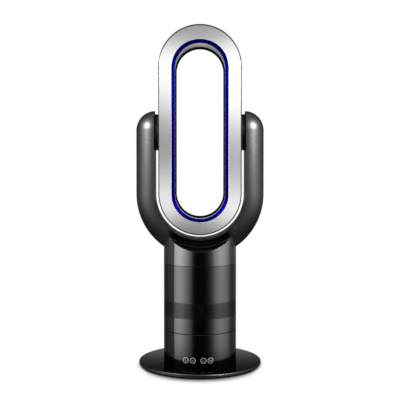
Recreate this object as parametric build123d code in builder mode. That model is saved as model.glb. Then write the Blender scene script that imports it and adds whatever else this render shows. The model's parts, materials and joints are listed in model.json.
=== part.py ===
"""Bladeless tower fan: a stadium ring tilting in a yoke, on a column that turns over its base.

All sizes are in millimetres. The origin lies on the floor under the column's axis, the
front looks along -Y and the height runs along +Z.
"""
from build123d import *
import os
from math import acos, cos, pi, radians, sin, sqrt, tan

os.makedirs("parts", exist_ok=True)

# ------------------------------------------------------------------ clearances
side_gap = 0.3          # between pieces that lie side by side
turning_gap = 0.5       # between rims that turn past each other
running_fit = 0.05      # radial play of a shaft or journal in its bore
screw_play = 0.12       # radial play of a screw in its hole
edge_break = 0.5        # chamfer on the column's seams
face_gap = 0.2          # of a piece's end behind the face that it stops short of
overcut = 1.0           # of a cut past the face that it opens

# ------------------------------------------------------------------ small screws
screw_radius = 1.5
screw_head = 2.9
screw_head_rise = 2.0
screw_reserve = 3.0     # of a boss past its screw's tip
pilot_depth = 2.0       # of a screw's hole into the deck
pilot_reserve = 0.5     # of that hole past the screw's tip
quarter_turn = 90.0

# ------------------------------------------------------------------ feet and base plate
foot_height = 1.5
foot_radius = 8.0
foot_inset = 22.0       # of a foot's centre from the plate's edge
foot_count = 6
foot_recess = 0.6
plate_radius = 120.0
plate_thickness = 5.5
plate_wall = 2.0
plate_rim = 4.0
plate_round = 1.6
cover_thickness = 1.2

# ------------------------------------------------------------------ column
column_radius = 71.4
column_wall = 2.6
control_height = 62.2
housing_height = 129.0
base_screw_angles = (0, 60, 120, 180, 218, 322)
base_screw_radius = 1.9
base_screw_head = 3.8
base_boss_height = 16.0
screw_slot = 0.8
screw_slot_depth = 1.0
column_boss_radius = 6.2
column_boss_inset = 8.4  # of a boss's centre from the column's surface

# ------------------------------------------------------------------ turning joint
deck_drop = 15.2        # of the deck's underside below the turning seam
deck_thickness = 3.0
land_height = 6.5
slide_width = 5.4
slide_thickness = 1.5
slide_inset = 8.4       # of the slide ring's middle line from the column's surface
slide_lip = 0.9
turntable_thickness = 4.5
spigot_radius = 13.7
spigot_bore = 10.0
bush_wall = 2.7
bush_boss_wall = 3.5
bush_boss_rise = 4.0
ring_gear_gap = 0.925   # of the ring gear inside the slide's lip
pressure_angle = 20.0
pinion_teeth = 14
ring_teeth = 70
tooth_root = 1.25       # of a tooth below the pitch line, in modules
ring_tooth_tip = 0.6    # of a ring tooth past the pitch line, in modules
gear_backlash = 0.3
pinion_width = 5.4
ring_gear_rim = 4.1
shaft_radius = 2.5
shaft_flat = 1.0
motor_radius = 21.0
motor_height = 17.0
ear_reach = 4.5         # of the motor's screws past its can
ear_width = 9.0
ear_thickness = 1.5
ear_boss_radius = 3.5
bush_flange = 1.2
spigot_tail = 5.6       # below the bush
spigot_thread = 0.4     # of the spigot below its nut
spigot_nut_wall = 3.0
washer_thickness = 1.1
table_boss_height = 14.0
table_rib_count = 6
table_rib_width = 2.0
table_rib_height = 3.0
table_rib_margin = 9.0  # of a rib from the spigot and from the rim
column_screw_angles = (45, 135, 225, 315)

# ------------------------------------------------------------------ controls
button_angles = (-22.3, -10.9, 5.3, 16.2)
button_names = ("power", "swing", "down", "up")
button_height = 13.5    # of the buttons' centres above the plate
button_radius = 5.85
button_travel = 0.6
icon_radius = 5.5
icon_line = 0.75
icon_depth = 0.4
dial_radius = 2.9       # of the power glyph's open ring
dial_gap = 2.25         # of that ring's opening
dial_stroke = 2.8
dial_stroke_rise = 2.2
dial_gap_rise = 2.6
dial_gap_height = 3.0
bar_length = 4.8        # of the other glyphs' bars
bar_rise = 1.1
button_tab_width = 6.0
button_tab_rise = 1.8
button_tab_thickness = 1.0
button_stem_radius = 2.0
board_thickness = 1.6
control_board_inset = 15.8
control_board_width = 66.0
control_board_height = 24.0
board_post_width = 5.0
board_post_lip = 1.0    # of a post ahead of and behind the board's slot
switch_size = 6.0
switch_depth = 3.4
plunger_radius = 1.7
plunger_length = 0.8

# ------------------------------------------------------------------ power inlet and board
inlet_width = 24.0
inlet_height = 12.0
inlet_depth = 14.0
inlet_rise = 15.0       # of the inlet's centre above the plate
socket_radius = 3.7
socket_spacing = 8.6
socket_depth = 10.0
pin_radius = 1.2
pin_length = 8.0
pin_tail = 3.0          # of a pin behind the inlet
power_board_width = 64.0
power_board_depth = 38.0
power_board_centre = 24.0
transformer_size = (24.0, 20.0)
filter_size = (18.0, 12.0)
filter_height = 12.0
capacitor_radius = 5.0
capacitor_height = 14.0
transformer_place = (-16.0, -2.0)   # from the power board's centre
filter_place = (12.0, -8.0)
capacitor_places = ((6.0, 10.0), (18.0, 10.0))
component_clearance = 2.4
standoff_height = 7.0
standoff_radius = 3.0

# ------------------------------------------------------------------ fan housing and air intake
vent_drop = 70.1        # of the perforated band's upper edge below the housing's top
vent_height = 30.0
grille_thickness = 1.0
grille_hole_radius = 1.5
grille_row_pitch = 3.9
grille_hole_pitch = 10.2
window_count = 12
window_rib = 8.0
window_margin = 2.6
window_start = 15.0     # angle of the first window from +X
window_cut = 8.0
ledge_gap = 2.1         # of the blower's ledge above the perforated band
ledge_thickness = 2.5
ledge_width = 6.3
shelf_thickness = 3.0
shelf_width = 12.0
seal_thickness = 1.0

# ------------------------------------------------------------------ blower
bell_play = 0.5         # of the bell mouth inside the ledge
duct_wall = 2.0
duct_height = 54.0
throat_step = 5.5       # of the throat in from the duct's outside
bell_height = 9.0
bell_curve = 11.7
taper_margin = 2.0      # of the duct's taper past the impeller
flange_thickness = 2.0
blade_count = 9
blade_thickness = 1.6
blade_gap = 0.9
blade_rise = 2.0        # of the blades above the hub's underside
blade_root = 4.0        # of a blade inside the hub's low end
blade_curve = 55.2
blade_sweep = 26.0
impeller_height = 26.0
hub_low_radius = 17.0
hub_high_radius = 38.0
hub_wall = 2.4
hub_low_round = 3.0     # of the hub's underside inside its low end
hub_floor = 5.0
hub_core_radius = 7.0
vane_count = 11
vane_thickness = 1.5
vane_curve = 73.6
vane_sweep = 12.0
vane_root = 1.0         # of a vane inside the motor's bucket
vane_tip = 0.5          # of a vane inside the diffuser's rim
vane_rise = 4.0         # of the vanes above the bucket's floor
vane_drop = 6.0         # of the vanes below the duct's top
diffuser_rim = 1.6
bucket_radius = 30.0
bucket_wall = 2.5
bucket_height = 30.0
sleeve_rise = 3.0       # of the rubber sleeve above the bucket's floor
sleeve_drop = 4.0       # of the rubber sleeve below the bucket's top
blower_motor_radius = 23.5
blower_motor_height = 26.0
blower_shaft_radius = 2.5
motor_neck_radius = 7.5
motor_neck_gap = 1.0
motor_can_round = 1.5
shaft_bore_end = 4.0    # of the motor past its shaft's bore
shaft_end_gap = 1.0     # of the bore past the shaft, and of the shaft past its nut
cap_height = 9.0
cap_wall = 2.0
nut_height = 4.0
nut_width = 10.0

# ------------------------------------------------------------------ yoke
yoke_rise = 9.9         # of the fork's underside above the housing
ring_room = 8.5         # between the ring and the fork
yoke_width = 36.7
yoke_half_depth = 39.0
yoke_wall = 2.5
yoke_screw_inset = 16.515  # of a screw from the arm's inner face
yoke_pilot_depth = 23.4    # of a screw's hole ahead of the shells' joint
yoke_screw_depth = 21.45   # of a screw's tip ahead of the shells' joint
saddle_step = 13.0      # of the saddle's root outside the fork's inner face
saddle_flare = 6.3      # of the saddle's rim outside its root
saddle_root_depth = 36.0
yoke_boss_wall = 1.8
yoke_screw_rises = (18.5, 78.5)  # above the centre of the fork's curve
yoke_screw_arc_angle = 38.0

# ------------------------------------------------------------------ ring
ring_outer_radius = 80.2
ring_half_depth = 36.0
ring_lift = 2.5         # of the ring's lower centre above the fork's
ring_straight = 243.8
shell_wall = 2.5
shell_corner = 14.0
bezel_thickness = 3.0
bezel_bevel = 2.4
bezel_width = 25.5
shell_flange = 9.0
trim_gap = 0.1
trim_sink = 0.4         # of the trim's front edge behind the silver face
trim_width = 6.6
trim_depth = 5.0
trim_thickness = 2.0
wall_thickness = 2.0
wall_step = 0.4         # of the wall's front edge outside the trim's
wall_taper = 1.8
wall_tail = 21.0        # of the rear face behind the wall's straight run
rear_flare = 6.0
flare_run = 12.0
slot_width = 1.8        # of the air slot
lip_thickness = 2.2
lip_reach = 11.0        # of the lip's nose ahead of its bend
lip_bend = 10.0
rib_length = 7.0
ring_post_radius = 3.4
ring_post_inset = 17.7  # of a post's centre from the ring's outer face
ring_screw_sink = 1.4   # of a head below the rear face
ring_screw_reach = 12.0
ring_screw_spare = 2.0  # of a post's hole past its screw's tip
side_post_shares = (0.12, 0.88)     # of the straight run, from its lower end
curve_post_angle = 40.0             # of a post from the ring's middle line
side_rib_shares = (0.05, 0.35, 0.65, 0.95)
curve_rib_angles = (-45, 0, 45)
web_step = 1.5          # of the wall's flange past its web
shell_joint_lap = 1.0   # of the shell's joint outside the lip's bend

# ------------------------------------------------------------------ hubs
hub_disc_radius = 35.4
pivot_drop = 2.7        # of the hubs' axis below the middle of the ring
journal_radius = 19.95
journal_bore = 16.0
journal_reach = 15.5    # past the arm's inner face
hub_bush_wall = 2.5
hub_bush_flange = 3.5
hub_bush_thickness = 2.0
hub_bush_length = 11.3
clip_thickness = 1.5
clip_depth = 1.8
clip_rise = 2.6
clip_opening = 7.0
friction_radius = 29.5
friction_width = 3.0
friction_depth = 1.2
hub_screw_circle = 25.5
hub_screw_angles = (45, 135, 225, 315)
hub_disc_round = 1.2
hub_screw_spare = 1.0   # of the disc ahead of a screw's hole
hub_screw_short = 1.5   # of the disc ahead of a screw's tip

# ------------------------------------------------------------------ heights that follow
plate_bottom = foot_height
plate_top = plate_bottom + plate_thickness
cover_top = plate_bottom + cover_thickness
ballast_top = plate_top - plate_wall
seam_height = plate_top + control_height
housing_top = seam_height + housing_height
column_inner = column_radius - column_wall
boss_circle = column_radius - column_boss_inset
foot_circle = plate_radius - foot_inset

deck_bottom = seam_height - deck_drop
deck_top = deck_bottom + deck_thickness
land_top = deck_top + land_height
slide_top = land_top + slide_thickness
slide_circle = column_radius - slide_inset
slide_inner = slide_circle - slide_width / 2
slide_outer = slide_circle + slide_width / 2
table_bottom = slide_top + side_gap
table_top = table_bottom + turntable_thickness
table_radius = column_inner - turning_gap
bush_outer = spigot_radius + running_fit + bush_wall
bush_boss_radius = bush_outer + bush_boss_wall
bush_boss_bottom = deck_bottom - bush_boss_rise
bush_boss_top = deck_top + bush_boss_rise

ring_gear_radius = slide_inner - slide_lip - ring_gear_gap
ring_root_radius = ring_gear_radius - ring_gear_rim
gear_module = ring_root_radius / (ring_teeth / 2 + tooth_root)
pinion_pitch_radius = gear_module * pinion_teeth / 2
ring_pitch_radius = gear_module * ring_teeth / 2
pinion_centre = ring_pitch_radius - pinion_pitch_radius
ring_tip_radius = ring_pitch_radius - ring_tooth_tip * gear_module
gear_top = table_bottom
gear_bottom = gear_top - pinion_width - 2 * side_gap
pinion_bottom = gear_bottom + side_gap
pinion_top = pinion_bottom + pinion_width

button_z = plate_top + button_height
inlet_z = plate_top + inlet_rise
inlet_face = sqrt(column_radius ** 2 - (inlet_width / 2) ** 2)
power_board_bottom = plate_top + standoff_height
control_board_bottom = button_z - control_board_height / 2
control_board_front = column_inner - control_board_inset
motor_top = bush_boss_bottom
motor_bottom = motor_top - motor_height
component_bottom = power_board_bottom + board_thickness
transformer_height = motor_bottom - component_clearance - component_bottom

vent_top = housing_top - vent_drop
vent_bottom = vent_top - vent_height
ledge_bottom = vent_top + ledge_gap
ledge_top = ledge_bottom + ledge_thickness
ledge_inner = column_inner - ledge_width
flange_bottom = ledge_top + seal_thickness
flange_top = flange_bottom + flange_thickness
duct_radius = ledge_inner - bell_play - duct_wall
throat_radius = duct_radius - throat_step
duct_top = flange_bottom + duct_height
duct_inner = duct_radius - duct_wall
impeller_bottom = flange_bottom + 2
impeller_top = impeller_bottom + impeller_height
bucket_bottom = impeller_top + 2 * turning_gap + 1
bucket_top = bucket_bottom + bucket_height
motor_floor = bucket_bottom + bucket_wall
taper_top = impeller_top + taper_margin
shelf_bottom = housing_top - shelf_thickness

yoke_inner_radius = ring_outer_radius + ring_room
yoke_centre_height = housing_top + yoke_rise + yoke_width + yoke_inner_radius
saddle_root_radius = yoke_inner_radius + saddle_step
saddle_rim_radius = saddle_root_radius + saddle_flare
ring_low_centre = yoke_centre_height + ring_lift
ring_high_centre = ring_low_centre + ring_straight
dome_height = ring_low_centre + ring_straight / 2
pivot_height = dome_height - pivot_drop
bezel_back = -ring_half_depth + bezel_thickness
bezel_inner_radius = ring_outer_radius - bezel_width
trim_front_radius = bezel_inner_radius - trim_gap
trim_inner_radius = trim_front_radius - trim_width
trim_front_depth = ring_half_depth - trim_sink
trim_inner_depth = trim_front_depth - trim_depth
wall_front_radius = trim_inner_radius + wall_step
wall_rear_radius = wall_front_radius + wall_taper
wall_rear_depth = ring_half_depth - wall_tail
lip_back_radius = wall_rear_radius - slot_width
lip_radius = lip_back_radius - lip_thickness
rib_radius = slot_width / 2 - running_fit
axle = [(0, pivot_height)]
bush_hole = journal_radius + running_fit + hub_bush_wall
upright = (Align.CENTER, Align.CENTER, Align.MIN)


# ------------------------------------------------------------------ helpers
def round_section(inner, outer, height):
    """Ring-shaped face at a height, with no hole where the inner radius is zero."""
    with BuildSketch(Plane.XY.offset(height)) as section:
        Circle(outer)
        if inner > 0:
            Circle(inner, mode=Mode.SUBTRACT)
    return section.sketch


def tube(inner, outer, bottom, top, mode=Mode.ADD):
    """Add or cut an upright tube about the column's axis."""
    extrude(round_section(inner, outer, bottom), amount=top - bottom, mode=mode)


def pegs(points, radius, bottom, top, mode=Mode.ADD):
    """Add or cut upright pegs at points in the plan."""
    with Locations(*[(x, y, bottom) for x, y in points]):
        Cylinder(radius, top - bottom, align=upright, mode=mode)


def on_circle(radius, angles):
    """Points on a circle in the plan, at angles in degrees from +X."""
    return [(radius * cos(radians(a)), radius * sin(radians(a))) for a in angles]


def cross_pegs(points, radius, front, back, mode=Mode.ADD):
    """Add or cut pegs that lie along Y, at (x, z) points, from one depth to another."""
    with BuildSketch(Plane.XZ.offset(-front)) as section:
        with Locations(*points):
            Circle(radius)
    extrude(section.sketch, amount=front - back, mode=mode)


def side_pegs(side, points, radius, near, far, mode=Mode.ADD):
    """Add or cut pegs along X on one side (-1 or 1), at (y, z) points, between two reaches."""
    with BuildSketch(Plane.YZ.offset(side * near)) as section:
        with Locations(*points):
            Circle(radius)
    extrude(section.sketch, amount=side * (far - near), mode=mode)


def hexagon(across_flats):
    """Circumscribed radius of a hexagon."""
    return across_flats / 2 / cos(pi / 6)


def involute_turn(radius, base_radius):
    """Angle by which an involute has turned when it reaches a radius, in radians."""
    pressure = acos(base_radius / radius)
    return tan(pressure) - pressure


def gear_outline(teeth, root_radius, tip_radius, thinning):
    """Toothed outline with involute flanks and one tooth centred on +Y."""
    pitch_radius = gear_module * teeth / 2
    base_radius = pitch_radius * cos(radians(pressure_angle))
    half_tooth = (pi * gear_module / 2 - thinning) / (2 * pitch_radius)
    flank_steps = 6
    flank = []
    for step in range(flank_steps + 1):
        radius = root_radius + (tip_radius - root_radius) * step / flank_steps
        turn = involute_turn(max(radius, base_radius), base_radius)
        half_angle = half_tooth + involute_turn(pitch_radius, base_radius) - turn
        flank.append((radius * sin(half_angle), radius * cos(half_angle)))
    foot = [(flank[0][0], flank[0][1] - gear_module / 3)]
    outline = foot + flank
    outline += [(-x, y) for x, y in reversed(outline)]
    with BuildSketch() as gear:
        Circle(root_radius)
        with PolarLocations(0, teeth):
            Polygon(*outline)
    return gear.sketch


def round_the_ring(section, mode=Mode.ADD):
    """Carry a section round the stadium: two half turns and two straight sides.

    The section is drawn with X as the distance from the stadium's spine and Y as the depth.
    """
    right = section.moved(Location((0, 0, ring_low_centre)))
    left = mirror(right, about=Plane.YZ, mode=Mode.PRIVATE)
    upper = section.moved(Location((0, 0, ring_high_centre)))
    low_axis = Axis((0, 0, ring_low_centre), (0, 1, 0))
    high_axis = Axis((0, 0, ring_high_centre), (0, -1, 0))
    revolve(right, axis=low_axis, revolution_arc=180, mode=mode)
    revolve(upper, axis=high_axis, revolution_arc=180, mode=mode)
    extrude(right, amount=ring_straight, dir=(0, 0, 1), mode=mode)
    extrude(left, amount=ring_straight, dir=(0, 0, 1), mode=mode)


def half_round(flat_radius, width, half_depth, upper_only=False):
    """Section of an arm: a flat inner side and a half-elliptic outer side."""
    with BuildSketch() as section:
        with BuildLine():
            start = 0 if upper_only else -quarter_turn
            arc = EllipticalCenterArc((flat_radius, 0), width, half_depth, start_angle=start,
                                      arc_size=quarter_turn - start)
            Polyline(arc @ 1, (flat_radius, 0), arc @ 0)
        make_face()
    return section.sketch


def yoke_volume(inset, mode=Mode.ADD):
    """U-shaped body of the yoke, drawn in from its surface by an inset."""
    flat = yoke_inner_radius + inset
    width = yoke_width - 2 * inset
    depth = yoke_half_depth - inset
    arm = half_round(flat, width, depth).moved(Location((0, 0, yoke_centre_height)))
    dome = half_round(flat, width, depth, upper_only=True).moved(Location((0, 0, dome_height)))
    arm_height = dome_height - yoke_centre_height
    revolve(arm, axis=Axis((0, 0, yoke_centre_height), (0, 1, 0)), revolution_arc=180, mode=mode)
    for side in (1, -1):
        near_arm = arm if side > 0 else mirror(arm, about=Plane.YZ, mode=Mode.PRIVATE)
        near_dome = dome if side > 0 else mirror(dome, about=Plane.YZ, mode=Mode.PRIVATE)
        extrude(near_arm, amount=arm_height, dir=(0, 0, 1), mode=mode)
        dome_axis = Axis((0, 0, dome_height), (1, 0, 0))
        revolve(near_dome, axis=dome_axis, revolution_arc=180, mode=mode)


def saddle_section(inset):
    """Half section of the body of revolution that hollows the collar's top to a saddle."""
    slope = (saddle_rim_radius - saddle_root_radius) / (column_radius - saddle_root_depth)
    reach = column_radius + 10 * overcut
    rim = saddle_root_radius + inset + slope * (reach - saddle_root_depth)
    root = saddle_root_radius + inset
    with BuildSketch(Plane.XY.offset(yoke_centre_height)) as section:
        Polygon(
            (0, -reach), (rim, -reach), (root, -saddle_root_depth),
            (root, saddle_root_depth), (rim, reach), (0, reach),
        )
    return section.sketch


# ------------------------------------------------------------------ base plate group
with BuildPart() as base_plate:
    tube(0, plate_radius, plate_bottom, plate_top)
    rim_edges = base_plate.edges().filter_by(GeomType.CIRCLE).group_by(Axis.Z)
    fillet(rim_edges[-1], plate_round)
    fillet(rim_edges[0], plate_round / 2)
    tube(0, plate_radius - plate_rim, plate_bottom, ballast_top, mode=Mode.SUBTRACT)
    standoff_points = [
        (x * (power_board_width / 2 - 2 * standoff_radius),
         power_board_centre + y * (power_board_depth / 2 - standoff_radius))
        for x in (-1, 1) for y in (-1, 1)
    ]
    pegs(standoff_points, standoff_radius, plate_top, power_board_bottom)
    post_depth = 2 * board_thickness + 2 * board_post_lip
    board_middle = -control_board_front + board_thickness / 2
    with Locations(*[(s * control_board_width / 2, board_middle, plate_top) for s in (-1, 1)]):
        Box(board_post_width, post_depth, control_board_height, align=upright)
    with Locations((0, board_middle, control_board_bottom)):
        Box(
            control_board_width + screw_play, board_thickness + screw_play,
            control_board_height + plate_thickness, align=upright, mode=Mode.SUBTRACT,
        )
    pegs(on_circle(boss_circle, base_screw_angles), base_screw_radius + screw_play,
         ballast_top, plate_top, mode=Mode.SUBTRACT)
base_plate.part.label = "base_plate"
export_step(base_plate.part, "parts/base_plate.step")

with BuildPart() as ballast_plate:
    tube(0, plate_radius - plate_rim - turning_gap, cover_top, ballast_top)
    pegs(on_circle(boss_circle, base_screw_angles), base_screw_radius + screw_play,
         cover_top, ballast_top, mode=Mode.SUBTRACT)
ballast_plate.part.label = "ballast_plate"
export_step(ballast_plate.part, "parts/ballast_plate.step")

with BuildPart() as bottom_cover:
    tube(0, plate_radius - plate_rim - side_gap, plate_bottom, cover_top)
    pegs(on_circle(boss_circle, base_screw_angles), base_screw_head + 2 * screw_play,
         plate_bottom, cover_top, mode=Mode.SUBTRACT)
    with PolarLocations(foot_circle, foot_count):
        Cylinder(foot_radius + screw_play, 2 * (plate_bottom + foot_recess), mode=Mode.SUBTRACT)
bottom_cover.part.label = "bottom_cover"
export_step(bottom_cover.part, "parts/bottom_cover.step")

with BuildPart() as rubber_feet:
    with PolarLocations(foot_circle, foot_count):
        Cylinder(foot_radius, plate_bottom + foot_recess, align=upright)
    foot_edges = rubber_feet.edges().filter_by(GeomType.CIRCLE).group_by(Axis.Z)
    chamfer(foot_edges[0], foot_height / 3)
rubber_feet.part.label = "rubber_feet"
export_step(rubber_feet.part, "parts/rubber_feet.step")

with BuildPart() as base_screws:
    screw_head_thickness = cover_thickness - face_gap
    screw_points = on_circle(boss_circle, base_screw_angles)
    pegs(screw_points, base_screw_head, cover_top - screw_head_thickness, cover_top)
    pegs(screw_points, base_screw_radius, cover_top,
         plate_top + base_boss_height - screw_reserve)
    with Locations(*[(x, y, cover_top - screw_head_thickness) for x, y in screw_points]):
        Box(base_screw_head, screw_slot, screw_slot_depth, mode=Mode.SUBTRACT)
        Box(screw_slot, base_screw_head, screw_slot_depth, mode=Mode.SUBTRACT)
base_screws.part.label = "base_screws"
export_step(base_screws.part, "parts/base_screws.step")

# ------------------------------------------------------------------ control housing
button_x = [column_radius * sin(radians(a)) for a in button_angles]
button_points = [(x, button_z) for x in button_x]
ear_points = [(s * (motor_radius + ear_reach), pinion_centre) for s in (-1, 1)]

with BuildPart() as control_housing:
    tube(column_inner, column_radius, plate_top, seam_height - turning_gap / 2)
    seam_edges = control_housing.edges().filter_by(GeomType.CIRCLE).group_by(Axis.Z)[-1]
    chamfer(seam_edges.sort_by(SortBy.RADIUS)[-1], edge_break)
    tube(0, column_inner + edge_break, deck_bottom, deck_top)
    tube(slide_inner - slide_lip, slide_outer + slide_lip, deck_top, land_top + slide_thickness / 2)
    tube(slide_inner - running_fit, slide_outer + running_fit, land_top, slide_top,
         mode=Mode.SUBTRACT)
    tube(0, bush_boss_radius, bush_boss_bottom, bush_boss_top)
    tube(0, bush_outer + running_fit, bush_boss_bottom, bush_boss_top, mode=Mode.SUBTRACT)
    pegs([(0, pinion_centre)], shaft_radius + turning_gap, deck_bottom, deck_top,
         mode=Mode.SUBTRACT)
    pegs(ear_points, ear_boss_radius, motor_top, deck_bottom)
    pegs(ear_points, screw_radius + screw_play, motor_top, deck_bottom + pilot_depth,
         mode=Mode.SUBTRACT)
    pegs(screw_points, column_boss_radius, plate_top, plate_top + base_boss_height)
    pegs(screw_points, base_screw_radius + screw_play, plate_top,
         plate_top + base_boss_height, mode=Mode.SUBTRACT)
    cross_pegs(button_points, button_radius + side_gap, -column_radius - overcut,
               -column_inner / 2, mode=Mode.SUBTRACT)
    with Locations((0, inlet_face, inlet_z)):
        Box(inlet_width + 2 * running_fit, 4 * column_wall, inlet_height + 2 * running_fit,
            mode=Mode.SUBTRACT)
control_housing.part.label = "control_housing"
export_step(control_housing.part, "parts/control_housing.step")

# ------------------------------------------------------------------ power inlet and boards
with BuildPart() as power_inlet:
    with Locations((0, inlet_face - inlet_depth / 2, inlet_z)):
        Box(inlet_width, inlet_depth, inlet_height)
    with BuildSketch(Plane.XZ.offset(-inlet_face)) as socket:
        with Locations((0, inlet_z)):
            SlotCenterToCenter(socket_spacing, 2 * socket_radius)
    extrude(amount=socket_depth, mode=Mode.SUBTRACT)
    pin_points = [(s * socket_spacing / 2, inlet_z) for s in (-1, 1)]
    cross_pegs(pin_points, pin_radius + running_fit, inlet_face - inlet_depth,
               inlet_face - socket_depth, mode=Mode.SUBTRACT)
power_inlet.part.label = "power_inlet"
export_step(power_inlet.part, "parts/power_inlet.step")

with BuildPart() as inlet_pins:
    cross_pegs(pin_points, pin_radius, inlet_face - inlet_depth - pin_tail,
               inlet_face - socket_depth + pin_length)
inlet_pins.part.label = "inlet_pins"
export_step(inlet_pins.part, "parts/inlet_pins.step")

with BuildPart() as power_board:
    with Locations((0, power_board_centre, power_board_bottom)):
        Box(power_board_width, power_board_depth, board_thickness, align=upright)
power_board.part.label = "power_board"
export_step(power_board.part, "parts/power_board.step")

with BuildPart() as board_components:
    board_origin = Location((0, power_board_centre, component_bottom))
    with Locations(board_origin * Location((*transformer_place, 0))):
        Box(*transformer_size, transformer_height, align=upright)
    with Locations(*[board_origin * Location((*place, 0)) for place in capacitor_places]):
        Cylinder(capacitor_radius, capacitor_height, align=upright)
    with Locations(board_origin * Location((*filter_place, 0))):
        Box(*filter_size, filter_height, align=upright)
board_components.part.label = "board_components"
export_step(board_components.part, "parts/board_components.step")

with BuildPart() as control_board:
    with Locations((0, board_middle, control_board_bottom)):
        Box(control_board_width, board_thickness, control_board_height, align=upright)
control_board.part.label = "control_board"
export_step(control_board.part, "parts/control_board.step")

with BuildPart() as tact_switches:
    switch_back = -control_board_front
    switch_front = switch_back - switch_depth
    plunger_front = switch_front - plunger_length
    with Locations(*[(x, switch_back - switch_depth / 2, button_z) for x in button_x]):
        Box(switch_size, switch_depth, switch_size)
    cross_pegs(button_points, plunger_radius, plunger_front, switch_front)
tact_switches.part.label = "tact_switches"
export_step(tact_switches.part, "parts/tact_switches.step")

# ------------------------------------------------------------------ oscillation drive
with BuildPart() as oscillation_motor:
    with Locations((0, pinion_centre, motor_bottom)):
        Cylinder(motor_radius, motor_height, align=upright)
    with Locations((0, pinion_centre, motor_top - ear_thickness)):
        Box(2 * (motor_radius + ear_reach) + ear_width, ear_width, ear_thickness, align=upright)
    pegs(ear_points, screw_radius + screw_play, motor_bottom, motor_top, mode=Mode.SUBTRACT)
    pegs([(0, pinion_centre)], shaft_radius + running_fit, motor_top - motor_height / 2,
         motor_top, mode=Mode.SUBTRACT)
oscillation_motor.part.label = "oscillation_motor"
export_step(oscillation_motor.part, "parts/oscillation_motor.step")

with BuildPart() as motor_screws:
    pegs(ear_points, screw_radius, motor_top - ear_thickness,
         deck_bottom + pilot_depth - pilot_reserve)
    pegs(ear_points, screw_head, motor_top - ear_thickness - screw_head_rise,
         motor_top - ear_thickness)
motor_screws.part.label = "motor_screws"
export_step(motor_screws.part, "parts/motor_screws.step")

with BuildPart() as motor_shaft:
    shaft_bottom = motor_top - motor_height / 2 + side_gap
    pegs([(0, pinion_centre)], shaft_radius, shaft_bottom, pinion_top)
    with Locations((0, pinion_centre + shaft_radius, pinion_bottom)):
        Box(2 * shaft_radius, shaft_flat, pinion_width, align=upright, mode=Mode.SUBTRACT)
motor_shaft.part.label = "motor_shaft"
export_step(motor_shaft.part, "parts/motor_shaft.step")

with BuildPart() as drive_pinion:
    pinion_root_radius = pinion_pitch_radius - tooth_root * gear_module
    pinion_tip_radius = pinion_pitch_radius + gear_module
    pinion_face = gear_outline(pinion_teeth, pinion_root_radius, pinion_tip_radius, gear_backlash)
    extrude(pinion_face.moved(Location((0, pinion_centre, pinion_bottom))), amount=pinion_width)
    pegs([(0, pinion_centre)], shaft_radius + running_fit, pinion_bottom, pinion_top,
         mode=Mode.SUBTRACT)
    with Locations((0, pinion_centre + shaft_radius + running_fit, pinion_bottom)):
        Box(2 * shaft_radius, shaft_flat, pinion_width, align=upright)
drive_pinion.part.label = "drive_pinion"
export_step(drive_pinion.part, "parts/drive_pinion.step")

with BuildPart() as slide_ring:
    tube(slide_inner, slide_outer, land_top, slide_top)
slide_ring.part.label = "slide_ring"
export_step(slide_ring.part, "parts/slide_ring.step")

with BuildPart() as pivot_bush:
    tube(spigot_radius + running_fit, bush_outer, bush_boss_bottom, bush_boss_top)
    tube(spigot_radius + running_fit, bush_boss_radius, bush_boss_top,
         bush_boss_top + bush_flange)
pivot_bush.part.label = "pivot_bush"
export_step(pivot_bush.part, "parts/pivot_bush.step")

# ------------------------------------------------------------------ turntable group
column_screw_points = on_circle(boss_circle, column_screw_angles)
spigot_bottom = bush_boss_bottom - spigot_tail

with BuildPart() as turntable:
    tube(spigot_bore, table_radius, table_bottom, table_top)
    tube(spigot_bore, spigot_radius, spigot_bottom, table_bottom)
    rib_length = table_radius - spigot_radius - 2 * table_rib_margin
    with PolarLocations((table_radius + spigot_radius) / 2 - table_rib_width, table_rib_count):
        with Locations((0, 0, table_top)):
            Box(rib_length, table_rib_width, table_rib_height, align=upright)
    tube(spigot_bore, spigot_radius + table_rib_width, table_top, table_top + table_rib_height)
    pegs(column_screw_points, screw_radius + screw_play, table_bottom, table_top,
         mode=Mode.SUBTRACT)
    pegs(column_screw_points, screw_head + screw_play, table_bottom,
         table_bottom + screw_head_rise, mode=Mode.SUBTRACT)
turntable.part.label = "turntable"
export_step(turntable.part, "parts/turntable.step")

with BuildPart() as turntable_screws:
    pegs(column_screw_points, screw_head, table_bottom + side_gap,
         table_bottom + screw_head_rise)
    pegs(column_screw_points, screw_radius, table_bottom + screw_head_rise,
         table_top + table_boss_height - screw_reserve)
turntable_screws.part.label = "turntable_screws"
export_step(turntable_screws.part, "parts/turntable_screws.step")

with BuildPart() as ring_gear:
    tube(0, ring_gear_radius, gear_bottom, gear_top)
    ring_space = gear_outline(ring_teeth, ring_tip_radius, ring_root_radius, -gear_backlash / 2)
    extrude(ring_space.moved(Location((0, 0, gear_bottom))), amount=gear_top - gear_bottom,
            mode=Mode.SUBTRACT)
ring_gear.part.label = "ring_gear"
export_step(ring_gear.part, "parts/ring_gear.step")

with BuildPart() as spigot_washer:
    washer_top = bush_boss_bottom - side_gap
    tube(spigot_radius + running_fit, bush_boss_radius - edge_break, washer_top - washer_thickness,
         washer_top)
spigot_washer.part.label = "spigot_washer"
export_step(spigot_washer.part, "parts/spigot_washer.step")

with BuildPart() as spigot_nut:
    nut_top = washer_top - washer_thickness
    nut_bottom = spigot_bottom + spigot_thread
    with BuildSketch(Plane.XY.offset(nut_bottom)):
        RegularPolygon(hexagon(2 * (spigot_radius + spigot_nut_wall)), 6)
        Circle(spigot_radius + running_fit, mode=Mode.SUBTRACT)
    extrude(amount=nut_top - nut_bottom)
spigot_nut.part.label = "spigot_nut"
export_step(spigot_nut.part, "parts/spigot_nut.step")

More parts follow.
